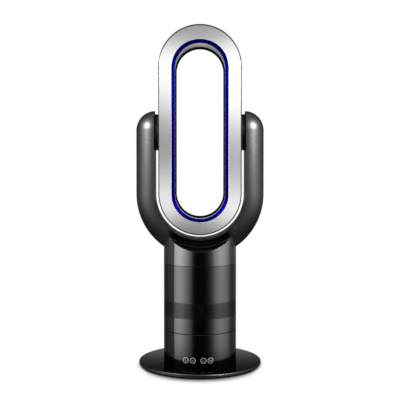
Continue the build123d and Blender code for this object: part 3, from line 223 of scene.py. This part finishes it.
def yoke_lacquer(name, dark, light, collar_rough, arm_rough, flake, depth, **constants):
    """Black lacquer, glossy on the collar and satin on the fork, with its parting line."""
    finish = Finish(name, **constants)
    sparkle = finish.cells(flake)
    finish.paint("Base Color", finish.blend(sparkle * sparkle, grey(dark), grey(light)))
    x, y, height = (finish.along(finish.place, axis) for axis in range(3))
    from_axis = (x * x + y * y).math("SQRT")
    outside = finish.step(from_axis, COLUMN_RADIUS, COLUMN_RADIUS + 3.0 * MM)
    collar = finish.step(from_axis, COLUMN_RADIUS - 2.0 * MM, COLUMN_RADIUS - 0.5 * MM)
    depth_side = y.math("ABSOLUTE")
    fork = finish.step(height, SADDLE_ROOT - MM, SADDLE_ROOT + MM)
    fork = fork * (1 - finish.step(depth_side, FORK_HALF_DEPTH, FORK_HALF_DEPTH + MM))
    fork = fork * finish.step(x.math("ABSOLUTE"), ARM_START, ARM_FULL)
    satin = outside.math("MAXIMUM", fork)
    uneven = 0.03 * (finish.noise(0.02, 3.0) - 0.5)
    finish.paint("Roughness", collar_rough + (arm_rough - collar_rough) * satin + uneven)
    finish.paint("Coat Weight", collar * (1 - satin))
    parting = 1 - finish.step(depth_side, 0.1 * MM, 0.3 * MM)
    finish.relief(depth * sparkle - 0.2 * MM * parting, 1.0)
    return finish.material


def brushed(name, dark, light, rough, spread, stretch, depth):
    """Metal with fine drawn lines along one direction."""
    finish = Finish(name, Metallic=1.0)
    lines = finish.noise(0.6 * MM, 2.0, stretch)
    finish.paint("Base Color", finish.blend(lines, grey(dark), grey(light)))
    finish.paint("Roughness", rough + spread * (lines - 0.5))
    finish.relief(lines, depth)
    return finish.material


def glossy_black(name):
    """Deep black lacquer with hairline scuffs and a trace of orange peel."""
    finish = Finish(name, IOR=1.05, Coat_Roughness=0.42)
    height = finish.along(finish.place, 2)
    rim = 1 - finish.step(height, PLATE_TOP - 0.4 * MM, PLATE_TOP - 0.1 * MM)
    scuffs = finish.noise(1.1 * MM, 3.0, (1.0, 0.05, 1.0)) * finish.noise(0.03)
    finish.paint(
        "Base Color", finish.blend(finish.noise(0.02, 3.0), grey(0.0008), grey(0.0016)))
    finish.paint("Roughness", 0.05 + 0.05 * scuffs)
    finish.paint("Coat Weight", 0.6 * rim)
    finish.relief(finish.noise(4.0 * MM, 1.0), 0.003 * MM)
    return finish.material


def solder_mask(name):
    """Green board with copper runs under the mask."""
    finish = Finish(name)
    runs = finish.node(
        "ShaderNodeTexBrick", {},
        {"Vector": finish.place, "Scale": 160.0, "Mortar Size": 0.03}, "Fac",
    )
    finish.paint(
        "Base Color", finish.blend(runs, grey((0.012, 0.1, 0.04)), grey((0.03, 0.2, 0.09))))
    finish.paint("Roughness", 0.32 + 0.1 * finish.noise(4.0 * MM))
    finish.relief(runs, 0.04 * MM)
    return finish.material


# Maker, name, dark and light colour, roughness and its spread, grain size and depth in
# millimetres, and the shader's own constants.
GRAINED = (
    (flaked, "column_satin", 0.0008, 0.003, 0.09, 0.02, 0.4, 0.002, {}),
    (flaked, "bead_gloss", 0.008, 0.014, 0.42, 0.04, 0.4, 0.002, {"Specular_IOR_Level": 0.16}),
    (flaked, "ring_dark", 0.002, 0.006, 0.4, 0.05, 0.4, 0.004, {"Specular_IOR_Level": 0.3}),
    (moulded, "hub_black", 0.002, 0.004, 0.5, 0.12, 0.5, 0.02, {"Specular_IOR_Level": 0.1}),
    (moulded, "lip_black", 0.0012, 0.0024, 0.6, 0.1, 0.8, 0.005, {"IOR": 1.03}),
    (moulded, "button_black", 0.002, 0.004, 0.16, 0.06, 1.0, 0.003, {}),
    (moulded, "icon_white", 0.85, 0.92, 0.5, 0.1, 0.4, 0.003, {}),
    (flaked, "bezel_silver", 0.79, 0.85, 0.09, 0.02, 0.25, 0.001, {"Metallic": 1.0}),
    (flaked, "wall_silver", 0.4, 0.5, 0.34, 0.05, 0.3, 0.003,
     {"Metallic": 0.2, "Specular_IOR_Level": 0.15}),
    (moulded, "accent_blue", (0.0006, 0.0006, 0.098), (0.0009, 0.001, 0.12), 0.4, 0.06, 0.6,
     0.003, {"Metallic": 0.07, "Specular_IOR_Level": 0.0}),
    (flaked, "grille_metal", 0.001, 0.004, 0.2, 0.04, 0.3, 0.003, {"Specular_IOR_Level": 0.4}),
    (moulded, "inner_plastic", 0.016, 0.026, 0.55, 0.1, 0.7, 0.03, {}),
    (moulded, "low_friction", (0.72, 0.7, 0.64), (0.8, 0.79, 0.74), 0.5, 0.1, 0.8, 0.01, {}),
    (moulded, "rubber", 0.01, 0.02, 0.78, 0.12, 0.4, 0.04, {}),
    (moulded, "component", 0.02, 0.04, 0.5, 0.14, 0.6, 0.02, {}),
)
finishes = {
    name: maker(name, dark, light, rough, spread, grain * MM, depth * MM, **constants)
    for maker, name, dark, light, rough, spread, grain, depth, constants in GRAINED}
finishes |= {
    "plate_gloss": glossy_black("plate_gloss"),
    "yoke_lacquer": yoke_lacquer(
        "yoke_lacquer", 0.0008, 0.003, 0.07, 0.43, 0.4 * MM, 0.002 * MM,
        Specular_IOR_Level=0.32, Coat_Roughness=0.06),
    "steel": brushed("steel", 0.48, 0.62, 0.32, 0.12, (1.0, 1.0, 0.08), 0.006 * MM),
    "brass": brushed("brass", (0.62, 0.43, 0.18), (0.78, 0.58, 0.3), 0.28, 0.1,
                     (0.08, 1.0, 1.0), 0.005 * MM),
    "board": solder_mask("board"),
}

slot_of = {part["node"]: part["material_slot"] for part in frame["record"]["subparts"]}
slot_of["yoke_front_shell"] = slot_of["yoke_rear_shell"] = "yoke_lacquer"
for node_name, node_object in frame["nodes"].items():
    node_object.data.materials.clear()
    node_object.data.materials.append(finishes[slot_of[node_name]])


# ---------------------------------------------------------------- mesh work
# From here to the studio, lengths are in millimetres, as in the part's source.
def new_piece(name, work, body, slot, *nodes, finish=None):
    """Turns finished mesh work into a piece that rides on a body and stands for CAD nodes."""
    bmesh.ops.recalc_face_normals(work, faces=work.faces)
    mesh = bpy.data.meshes.new(name)
    work.to_mesh(mesh)
    work.free()
    mesh.transform(Matrix.Scale(MM, 4))
    mesh.shade_smooth()
    mesh.set_sharp_from_angle(angle=radians(32))
    piece = bpy.data.objects.new(name, mesh)
    bpy.context.scene.collection.objects.link(piece)
    mesh.materials.append(finishes[finish or slot])
    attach(piece, body)
    if nodes:
        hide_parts(*nodes)


def turns(sides):
    """Cosine and sine of evenly spaced turns."""
    return [(cos(2 * pi * k / sides), sin(2 * pi * k / sides)) for k in range(sides)]


def strip(work, first, second):
    """Faces between two loops of as many points each."""
    count = len(first)
    for k in range(count):
        n = (k + 1) % count
        work.faces.new((first[k], first[n], second[n], second[k]))


def loft(work, loops, caps=(0, -1)):
    """Faces from each loop to the next, and a flat face on each loop that is capped."""
    for first, second in zip(loops, loops[1:]):
        strip(work, first, second)
    for cap in caps:
        work.faces.new(loops[cap])


def peg(work, x, z, radius, near, far, sides=20):
    """Closed round peg along the depth."""
    loft(work, [
        [work.verts.new((x + radius * u, depth, z + radius * v)) for u, v in turns(sides)]
        for depth in (near, far)])


# ---------------------------------------------------------------- ring
RING_LOW, RING_HIGH = 336.0, 579.8
OUTER_RADIUS = 80.2
HALF_DEPTH = 36.0
BEZEL_BACK = -33.0
# Heights of the two end arcs' centres, which differ a little from edge to edge.
OUTSIDE = (RING_LOW, RING_HIGH)
INSIDE = (334.5, 576.3)
LIP_INSIDE = (336.3, 576.2)


def with_supports(section, reach=0.15):
    """Adds a point close to both ends of each long run, so that flats keep flat normals."""
    points = []
    for here, after in zip(section, section[1:] + section[:1]):
        points.append(here)
        span = hypot(after[0] - here[0], after[1] - here[1])
        if span > 4 * reach:
            for share in (reach / span, 1 - reach / span):
                centres = tuple(a + (b - a) * share for a, b in zip(here[2], after[2]))
                points.append((here[0] + (after[0] - here[0]) * share,
                               here[1] + (after[1] - here[1]) * share, centres))
    return points


def ring_sweep(section, turn_steps=72):
    """Sweeps a section round the upright loop; each point is a radius, a depth and centres."""
    section = with_supports(section)
    work = bmesh.new()
    loops = []
    for end, start in ((1, -90.0), (0, 90.0)):
        for k in range(turn_steps + 1):
            turn = radians(180.0 * k / turn_steps + start)
            loops.append([
                work.verts.new((radius * sin(turn), depth, centres[end] + radius * cos(turn)))
                for radius, depth, centres in section])
    loft(work, loops + loops[:1], caps=())
    return work


def rounded(radius, depth, centres, reach, start, steps=4):
    """Quarter round about a corner's centre, from a start angle in degrees."""
    return [
        (radius + reach * cos(radians(start + 90.0 * k / steps)),
         depth + reach * sin(radians(start + 90.0 * k / steps)), centres)
        for k in range(steps + 1)]


def up_the_sides(x, *shares):
    """Places on both straight sides, at shares of the way up."""
    return [(side * x, RING_LOW + share * (RING_HIGH - RING_LOW))
            for side in (-1, 1) for share in shares]


POST_CIRCLE = 62.5
POST_TURN = radians(40)
POSTS = up_the_sides(POST_CIRCLE, 0.12, 0.88) + [
    (side * POST_CIRCLE * sin(POST_TURN), centre + up * POST_CIRCLE * cos(POST_TURN))
    for centre, up in ((RING_LOW, -1), (RING_HIGH, 1)) for side in (-1, 1)]

# Silver face with bevelled edges, on its eight screw posts.
FACE_INNER, FACE_OUTER = 55.2, 78.4
FACE_OUTSIDE = (335.2, 579.1)
INNER_BEVEL, OUTER_BEVEL = 0.2, 0.3
POST_RADIUS, POST_END = 3.4, 33.2
work = ring_sweep([
    (FACE_INNER, INNER_BEVEL - HALF_DEPTH, INSIDE),
    (FACE_INNER + INNER_BEVEL, -HALF_DEPTH, INSIDE),
    (FACE_OUTER - OUTER_BEVEL, -HALF_DEPTH, FACE_OUTSIDE),
    (FACE_OUTER, OUTER_BEVEL - HALF_DEPTH, FACE_OUTSIDE),
    (FACE_OUTER, BEZEL_BACK, FACE_OUTSIDE), (FACE_INNER + 3.3, BEZEL_BACK, INSIDE)])
for x, z in POSTS:
    peg(work, x, z, POST_RADIUS, BEZEL_BACK, POST_END)
new_piece("silver_face", work, "ring", "bezel_silver", "ring_bezel")

# Dark bead of the shell round the silver face, with a hairline gap between them.
BEAD_INNER = FACE_OUTER + 0.05
BEAD_OUTSIDE = (334.9, 579.8)
BEAD_ROUND = 0.3
new_piece("shell_bead", ring_sweep(
    [(BEAD_INNER, BEZEL_BACK, FACE_OUTSIDE), (BEAD_INNER, 0.2 - HALF_DEPTH, FACE_OUTSIDE)]
    + rounded(OUTER_RADIUS - BEAD_ROUND, 0.4 - HALF_DEPTH, BEAD_OUTSIDE, BEAD_ROUND, -90)
    + [(OUTER_RADIUS, BEZEL_BACK, BEAD_OUTSIDE)]), "ring", "ring_dark", "ring_bezel")

# Blue band sloping in from the silver face.
BAND_FRONT, BAND_INNER = (55.1, -35.6), (48.4, -30.6)
new_piece("blue_band", ring_sweep([
    (*BAND_FRONT, INSIDE), (BAND_INNER[0] + 0.3, BAND_INNER[1] - 0.22, INSIDE),
    (BAND_INNER[0] + 0.02, BAND_INNER[1] + 0.2, INSIDE),
    (BAND_INNER[0] + 1.2, BAND_INNER[1] + 1.6, INSIDE),
    (BAND_FRONT[0] + 1.1, BAND_FRONT[1] + 1.6, INSIDE)]), "ring", "accent_blue", "accent_trim")

# Inner wall: a soft front edge, the straight run and the flare behind the air slot.
WALL_FRONT, WALL_REAR = 48.6, 49.7
WALL_END, WALL_END_DEPTH = (335.3, 576.4), 17.5
WALL_THICKNESS = 2.0
FLARE_REACH, FLARE_DEPTH = 6.8, 9.5
flare = [
    (WALL_REAR + FLARE_REACH * (1 - cos(radians(a))) ** 0.9,
     WALL_END_DEPTH + FLARE_DEPTH * sin(radians(a)))
    for a in (20, 40, 60, 80, 90)]
air_side = [
    (WALL_FRONT + 0.6, -29.3, INSIDE), (WALL_FRONT + 0.15, -29.0, INSIDE),
    (WALL_FRONT, -28.2, INSIDE), (WALL_REAR, WALL_END_DEPTH, WALL_END)]
air_side += [(radius, depth, OUTSIDE) for radius, depth in flare]
duct_side = [(radius + 1.9, depth - 0.5, OUTSIDE) for radius, depth in reversed(flare)]
duct_side += [
    (WALL_REAR + WALL_THICKNESS, WALL_END_DEPTH, OUTSIDE),
    (WALL_FRONT + WALL_THICKNESS, -24.7, OUTSIDE), (56.4, -31.0, OUTSIDE),
    (58.8, -31.0, OUTSIDE), (58.8, -32.9, OUTSIDE), (56.2, -32.9, INSIDE),
    (50.8, -29.0, INSIDE)]
new_piece("air_wall", ring_sweep(air_side + duct_side), "ring", "wall_silver", "inner_wall")

# Black lip: a round nose in front of the slot, and its bend out to the rear shell.
LIP_INNER, LIP_THICKNESS = 46.7, 2.2
LIP_BEND, LIP_END = 10.0, 57.1
NOSE_RADIUS, NOSE_DEPTH = LIP_THICKNESS / 2, 17.0


def lip_bend(reach, angles):
    """Arc of the bend at a reach from its middle, on centres that shift along it."""
    return [
        (LIP_INNER + LIP_BEND - reach * cos(radians(a)),
         HALF_DEPTH - LIP_BEND + reach * sin(radians(a)),
         tuple(inner + (outer - inner) * a / 90 for inner, outer in zip(LIP_INSIDE, OUTSIDE)))
        for a in angles]


nose = [
    (LIP_INNER + NOSE_RADIUS * (1 - cos(radians(a))), NOSE_DEPTH - NOSE_RADIUS * sin(radians(a)),
     LIP_INSIDE)
    for a in range(180, -1, -30)]
work = ring_sweep(
    nose + lip_bend(LIP_BEND, range(0, 91, 10))
    + [(LIP_END, HALF_DEPTH, OUTSIDE), (LIP_END, HALF_DEPTH - LIP_THICKNESS, OUTSIDE)]
    + lip_bend(LIP_BEND - LIP_THICKNESS, range(90, -1, -10)))
for x, z in up_the_sides(49.8, 0.05, 0.35, 0.65, 0.95):
    peg(work, x, z, 0.75, 16.1, 23.1, 10)
new_piece("black_lip", work, "ring", "lip_black", "rear_lip")


def cross_screw(work, x, z):
    """Pan head facing the rear, with a cross recess, on its shank."""
    seat, top, tip = 34.6, 35.8, 21.5
    slot_half_width, slot_reach, slot_run_out, slot_depth = 0.42, 1.85, 0.5, 0.9
    steps = [(1.5, tip, 0), (1.5, seat, 0), (2.9, seat, 0), (2.9, top - 0.5, 0)]
    steps += [(2.75, top - 0.2, 0), (2.4, top - 0.05, 0)]
    steps += [(radius, top, slot_depth) for radius in (2.0, 1.7, 1.4, 1.1, 0.8, 0.5, 0.25)]
    loops = []
    for radius, depth, cut in steps:
        loop = []
        for u, v in turns(32):
            u, v = radius * u, radius * v
            arm, width = max(abs(u), abs(v)), min(abs(u), abs(v))
            share = min(1.0, max(0.0, (slot_reach - arm) / slot_run_out))
            recess = cut * (width < slot_half_width) * share
            loop.append(work.verts.new((x + u, depth - recess, z + v)))
        loops.append(loop)
    loft(work, loops)


work = bmesh.new()
for x, z in POSTS:
    cross_screw(work, x, z)
new_piece("ring_cross_screws", work, "ring", "steel", "ring_screws")


# ---------------------------------------------------------------- saddle
FORK_CENTRE = 333.5
ROOT_RADIUS, RIM_RADIUS, ROOT_DEPTH = 101.7, 108.0, 36.0
COLUMN = COLUMN_RADIUS / MM
BEAD_STEPS = 36


def bead(points, radius):
    """Round bead along points, drawn in to a small round at each end."""
    work = bmesh.new()
    points = [Vector(point) for point in points]
    across = None
    loops = []
    for k, point in enumerate(points):
        along = (points[min(k + 1, len(points) - 1)] - points[max(k - 1, 0)]).normalized()
        across = along.orthogonal() if across is None else across - along * across.dot(along)
        across.normalize()
        up = along.cross(across)
        near_end = min(k, len(points) - 1 - k)
        reach = radius * (0.3, 0.75, 1.0)[min(near_end, 2)]
        loops.append([
            work.verts.new(point + reach * (across * u + up * v)) for u, v in turns(10)])
    loft(work, loops)
    return work


def saddle_point(x, depth, sink):
    """Point on the saddle's surface at a width and depth, a little under it."""
    slope = (RIM_RADIUS - ROOT_RADIUS) / (COLUMN - ROOT_DEPTH)
    radius = ROOT_RADIUS + slope * (abs(depth) - ROOT_DEPTH)
    return (x, depth, FORK_CENTRE - sqrt(radius * radius - x * x) - sink)


def saddle_beads(name, side):
    """Bead on the collar's rim and bead along the root of the fork, on one side."""
    shares = [k / BEAD_STEPS - 1 for k in range(2 * BEAD_STEPS + 1)]
    half_turn, reach = asin(61.7 / COLUMN), COLUMN - 0.25
    rim = [
        saddle_point(reach * sin(half_turn * share), side * reach * cos(half_turn * share), 0.2)
        for share in shares]
    root = [saddle_point(61.2 * share, side * (ROOT_DEPTH + 0.7), -0.15) for share in shares]
    for place, points, radius in (("rim", rim, 0.4), ("root", root, 0.5)):
        new_piece(f"{name}_{place}_bead", bead(points, radius), "tower", "column_satin",
                  finish="bead_gloss")


saddle_beads("front", -1)
saddle_beads("rear", 1)


def fork_lining():
    """Crescent on the fork's inner face, thickest at the bottom, with rounded edges."""
    fork_inner, thickness, half_width = 88.7, 2.4, 38.6
    spread, steps = 80, 64
    work = bmesh.new()
    loops = []
    for k in range(steps + 1):
        turn = radians(spread * (2 * k / steps - 1))
        rise = thickness * cos(turn) ** 2
        loops.append([
            work.verts.new(((fork_inner - reach) * sin(turn), depth,
                            FORK_CENTRE - (fork_inner - reach) * cos(turn)))
            for reach, depth in (
                (-0.3, -half_width), (0.6 * rise, -half_width), (0.9 * rise, 0.5 - half_width),
                (rise, 1.4 - half_width), (rise, half_width - 1.4),
                (0.9 * rise, half_width - 0.5), (0.6 * rise, half_width), (-0.3, half_width))])
    loft(work, loops)
    return work


new_piece("fork_lining", fork_lining(), "tower", "column_satin", finish="hub_black")


# ---------------------------------------------------------------- buttons
BUTTON_HEIGHT = 20.5
BUTTON_RADIUS = 5.75


def on_column(x, z, lift):
    """Point of the column's front at a width and height, lifted off its surface."""
    radius = COLUMN + lift
    return (x, -sqrt(radius * radius - x * x), z)


def button_face(x_middle):
    """Thin gloss skin over a button, with a rounded rim."""
    work = bmesh.new()
    loft(work, [
        [work.verts.new(on_column(x_middle + radius * u, BUTTON_HEIGHT + radius * v, lift))
         for u, v in turns(40)]
        for radius, lift in (
            (0.9, 0.06), (2.2, 0.06), (3.6, 0.06), (4.8, 0.06), (5.35, 0.05), (5.6, 0.02),
            (5.72, -0.06), (BUTTON_RADIUS, -0.3))], caps=(0,))
    return work


def stroke(work, x_middle, line, width, closed=False):
    """Raised line drawn on a button through points in its own plane."""
    count = len(line)
    loops = []
    for k, (u, v) in enumerate(line):
        before = line[k - 1] if closed or k else line[k]
        after = line[(k + 1) % count] if closed or k < count - 1 else line[k]
        along = Vector((after[0] - before[0], after[1] - before[1])).normalized() * (width / 2)
        left, right = (u - along.y, v + along.x), (u + along.y, v - along.x)
        loops.append([
            work.verts.new(on_column(x_middle + place[0], BUTTON_HEIGHT + place[1], lift))
            for place, lift in ((left, 0.02), (left, 0.12), (right, 0.12), (right, 0.02))])
    if closed:
        loft(work, loops + loops[:1], caps=())
    else:
        loft(work, loops)


def between(*corners):
    """Points along straight runs between corners, close enough to bend with the column."""
    points = []
    for (u, v), (next_u, next_v) in zip(corners, corners[1:]):
        points += [(u + (next_u - u) * k / 6, v + (next_v - v) * k / 6) for k in range(6)]
    return points + [corners[-1]]


ICON_RING = [(4.9 * u, 4.9 * v) for u, v in turns(48)]
ICON_LINE = 0.62
# Name, turn round the column in degrees, sign, and the width of its line.
BUTTONS = (
    ("power", -22.3, between((-1.2, 1.2), (1.2, -1.2)), 0.8),
    ("swing", -10.9, between((-2.0, -0.3), (2.0, -0.3)), 0.4),
    ("down", 5.3, between((-2.2, -1.0), (0.0, -0.1), (2.2, -1.0)), 0.4),
    ("up", 16.2, between((-2.4, -1.4), (0.0, 0.3), (2.4, -1.4)), 0.8),
)
for button_name, turn, sign, sign_line in BUTTONS:
    middle = COLUMN * sin(radians(turn))
    body = f"{button_name}_button"
    new_piece(f"face_{button_name}", button_face(middle), body, "button_black",
              finish="column_satin")
    work = bmesh.new()
    stroke(work, middle, ICON_RING, ICON_LINE, closed=True)
    stroke(work, middle, sign, sign_line)
    new_piece(f"print_{button_name}", work, body, "icon_white", f"icon_{button_name}")


# ---------------------------------------------------------------- grille
def perforated_band(low, high, inner, outer, rows, columns, hole):
    """Thin band with staggered round holes, each with its own rim through the wall."""
    work = bmesh.new()
    halves = 2
    levels = 2 * halves
    pitch = 2 * pi / (columns * halves)
    level_height = (high - low) / (rows * levels)
    side = [-1 + k / halves for k in range(levels)]
    square = [(u, -1) for u in side] + [(1, v) for v in side]
    square += [(-u, 1) for u in side] + [(-1, -v) for v in side]
    known = {}

    def grid_corner(across, level, radius):
        key = (across % (columns * halves), level, radius)
        if key not in known:
            turn = key[0] * pitch
            known[key] = work.verts.new(
                (radius * cos(turn), radius * sin(turn), low + level * level_height))
        return known[key]

    for row in range(rows):
        middle_level = row * levels + halves
        for column in range(columns):
            middle = column * halves + row % 2
            shells = []
            for radius in (outer, inner):
                edge, rim = [], []
                for u, v in square:
                    edge.append(grid_corner(
                        middle + round(u * halves / 2), middle_level + round(v * halves), radius))
                    reach = sqrt(u * u + v * v)
                    turn = middle * pitch + hole / radius * u / reach
                    height = low + middle_level * level_height + hole * v / reach
                    rim.append(work.verts.new((radius * cos(turn), radius * sin(turn), height)))
                shells.append((edge, rim))
            strip(work, shells[0][1], shells[1][1])
            for k in range(len(square)):
                n = (k + 1) % len(square)
                for edge, rim in shells:
                    corners = [edge[k], edge[n], rim[n], rim[k]]
                    if edge[k] is edge[n]:
                        corners.pop(0)
                    work.faces.new(corners)
    return work


grille_low, grille_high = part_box("intake_grille")
GRILLE_LOW, GRILLE_HIGH, GRILLE_RADIUS = (
    length / MM for length in (grille_low.z, grille_high.z, grille_high.x))
new_piece(
    "fine_grille",
    perforated_band(GRILLE_LOW, GRILLE_HIGH, GRILLE_RADIUS - 1.0, GRILLE_RADIUS, 13, 190, 0.84),
    "tower", "grille_metal", "intake_grille",
)

# Painted shade: a matt black sleeve behind the grille stands in for the shade inside the column,
# so that its holes look into the dark.
SLEEVE_INNER, SLEEVE_OUTER, SLEEVE_OVERLAP = 68.4, 68.7, 1.0
work = bmesh.new()
edges = [
    [work.verts.new((radius * u, radius * v, height)) for u, v in turns(96)]
    for radius, height in (
        (SLEEVE_OUTER, GRILLE_LOW - SLEEVE_OVERLAP), (SLEEVE_OUTER, GRILLE_HIGH + SLEEVE_OVERLAP),
        (SLEEVE_INNER, GRILLE_HIGH + SLEEVE_OVERLAP), (SLEEVE_INNER, GRILLE_LOW - SLEEVE_OVERLAP))]
loft(work, edges + edges[:1], caps=())
new_piece("grille_shade_sleeve", work, "tower", "grille_metal", finish="lip_black")


# ---------------------------------------------------------------- studio, in metres
def studio_world():
    """White to the camera, even light for soft surfaces, and soft panels for glossy ones."""
    world = bpy.data.worlds.new("studio")
    bpy.context.scene.world = world
    world.use_nodes = True
    world.cycles.sampling_method = "NONE"
    graph = Graph(world.node_tree)
    direction = graph.node("ShaderNodeTexCoord", output="Generated")
    x, y, z = (graph.along(direction, axis) for axis in range(3))
    # Both are in degrees: the turn is 0 behind the camera, the rise is 0 at the horizon.
    turn = x.math("ARCTAN2", -y) * (180 / pi)
    rise = z.math("ARCSINE") * (180 / pi)
    aside = turn.math("ABSOLUTE")

    # Tall panels at both sides, which the column and the arms show.
    across = graph.curve(
        turn, (-180, 0.1), (-127, 0.12), (-103, 0.5), (-90, 0.6), (-88, 4.3), (-69, 6.6),
        (-56, 5.6), (-40, 3.0), (-22, 0.2), (-12, 0.0), (12, 0.0), (24, 0.15), (37, 0.8),
        (51, 3.2), (66, 4.6), (78, 4.0), (90, 2.8), (110, 0.55), (122, 0.26), (180, 0.1))
    upward = graph.curve(
        rise, (-30, 0.0), (-20, 0.0), (-14.4, 0.0), (-14.15, 0.06), (-13.85, 0.2),
        (-13.6, 0.42), (-13.2, 0.7), (-11.5, 0.82), (-6, 0.9), (-3, 1.1), (4, 1.05), (9, 0.6),
        (12, 0.15), (20, 0.1), (30, 0.1))
    panels = across * upward

    # Screen behind the camera, which the silver face shows: its middle is dimmed, and it falls
    # off towards the crown and the foot of the ring.
    middle = graph.curve(
        rise + 0.185 * turn, (-4, 1.02), (-2.2, 1.0), (-1.57, 0.96), (-0.9, 0.86),
        (-0.3, 0.75), (0.4, 0.6), (1.0, 0.49), (1.7, 0.41), (2.5, 0.367), (3.6, 0.4),
        (4.3, 0.48), (4.9, 0.61), (5.55, 0.73), (6.2, 0.89), (6.8, 1.0), (7.5, 1.1),
        (8.7, 1.16), (10, 1.2))
    crown = graph.curve(
        rise - 0.25 * aside, (9, 1.0), (9.9, 0.95), (10.3, 0.77), (11.1, 0.38), (11.4, 0.27),
        (11.75, 0.245), (12.4, 0.26), (14, 0.27))
    foot = graph.curve(
        -rise - 0.45 * (turn + 0.4).math("ABSOLUTE"), (0, 1.0), (0.9, 1.0), (1.5, 0.8),
        (2.0, 0.62), (2.4, 0.35), (2.9, 0.2), (3.5, 0.24), (4, 0.27))
    screen = 1.22 * middle * crown * foot + 0.026 * turn
    screen = screen * (1 - graph.step(aside, 4.5, 7.0)) * (1 - graph.step(rise, 20, 40))
    screen = screen * graph.step(rise, -4.9, -4.2)

    # Backdrop behind the fan, which the plate's top shows.
    backdrop = graph.curve(
        rise, (-30, 0.35), (8, 0.35), (11, 0.9), (13.2, 1.0), (13.4, 0.62), (13.6, 0.45),
        (13.77, 0.3), (13.93, 0.2), (14.1, 0.13), (14.3, 0.05), (15, 0.04), (18, 0.0), (30, 0.0))
    backdrop = 2.2 * backdrop * graph.step(aside, 163, 178)
    overhead = 1.4 * graph.step(rise, 50, 80)
    underneath = graph.step(-rise, 45, 70)

    seen = panels + screen + backdrop + overhead + underneath
    glossy = graph.node("ShaderNodeLightPath", output="Is Glossy Ray")
    level = 1.0 + glossy * (seen - 1.0)
    background = graph.node("ShaderNodeBackground", {}, {"Color": grey(1.0), "Strength": level})
    graph.node("ShaderNodeOutputWorld", {}, {"Surface": background})


def studio_floor():
    """White floor with contact shade from ambient occlusion, painted stronger in front, and a
    painted shadow disc in front of the plate.
    """
    work = bmesh.new()
    bmesh.ops.create_grid(work, x_segments=40, y_segments=40, size=6.0)
    mesh = bpy.data.meshes.new("floor")
    work.to_mesh(mesh)
    work.free()
    floor = bpy.data.objects.new("floor", mesh)
    bpy.context.scene.collection.objects.link(floor)
    material = bpy.data.materials.new("floor")
    material.use_nodes = True
    graph = Graph(material.node_tree)
    camera = graph.node("ShaderNodeLightPath", output="Is Camera Ray")
    glossy = graph.node("ShaderNodeLightPath", output="Is Glossy Ray")
    place = graph.node("ShaderNodeTexCoord", output="Object")
    x, y = (graph.along(place, axis) for axis in range(2))
    # Contact shade from ambient occlusion; its strength in front is painted shade, set by the
    # place on the floor.
    openness = graph.node(
        "ShaderNodeAmbientOcclusion", {"samples": 32}, {"Distance": 0.02}, "AO")
    painted_front_weight = 0.3 + 0.7 * graph.step(-y, -0.02, 0.09)
    occluded_and_painted_shade = 1 - (1 - graph.step(openness, 0.4, 0.95)) * painted_front_weight
    # Painted shadow: a soft disc of shade a little in front of the plate, set by the place on the
    # floor, not cast.
    shadow_disc_forward, shadow_disc_radius = 0.0257, 0.1103
    nearer = y + shadow_disc_forward
    from_middle = (x * x + nearer * nearer).math("SQRT")
    spread = 0.008 + 0.011 * graph.step(-y, 0.06, 0.12)
    painted_shadow_disc = graph.step(from_middle, shadow_disc_radius - spread, shadow_disc_radius + spread)
    seen = graph.node("ShaderNodeEmission", {}, {"Color": occluded_and_painted_shade * painted_shadow_disc})
    soft = graph.node("ShaderNodeBsdfDiffuse", {}, {"Color": grey(0.85)})
    shown = graph.node("ShaderNodeMixShader", {}, [camera, soft, seen])
    clear = graph.node("ShaderNodeBsdfTransparent")
    surface = graph.node("ShaderNodeMixShader", {}, [glossy, shown, clear])
    graph.node("ShaderNodeOutputMaterial", {}, {"Surface": surface})
    mesh.materials.append(material)


def studio_lamps():
    """Soft boxes beside the camera, which give the satin arms their highlights."""
    for name, side, power in (("left_lamp", -0.6, 39.0), ("right_lamp", 0.64, 46.0)):
        data = bpy.data.lights.new(name, "AREA")
        data.shape = "RECTANGLE"
        data.size = data.size_y = 0.16
        data.energy = power
        lamp = bpy.data.objects.new(name, data)
        bpy.context.scene.collection.objects.link(lamp)
        lamp.location = (side, -0.42, 0.76)
        aim = Vector((side * 0.17, 0.0, 0.45)) - lamp.location
        lamp.rotation_euler = aim.to_track_quat("-Z", "Y").to_euler()
        lamp.visible_camera = False
        lamp.visible_diffuse = False


def studio_camera():
    """Camera solved from the photograph: its distance, height, pitch and lens."""
    data = bpy.data.cameras.new("camera")
    camera = bpy.data.objects.new("camera", data)
    bpy.context.scene.collection.objects.link(camera)
    bpy.context.scene.camera = camera
    # In pixels: focal length, image width, and how far the horizon is above the middle.
    focal, width, horizon = 706.0, 400.0, 15.2
    data.sensor_width = 36.0
    data.lens = data.sensor_width * focal / width
    camera.location = (0.0, -1.394, 0.352)
    camera.rotation_euler = (pi / 2 - atan(horizon / focal), 0, 0)
    data.clip_start, data.clip_end = 0.05, 100.0


studio_world()
studio_floor()
studio_lamps()
studio_camera()
bpy.context.scene.view_settings.view_transform = "Standard"
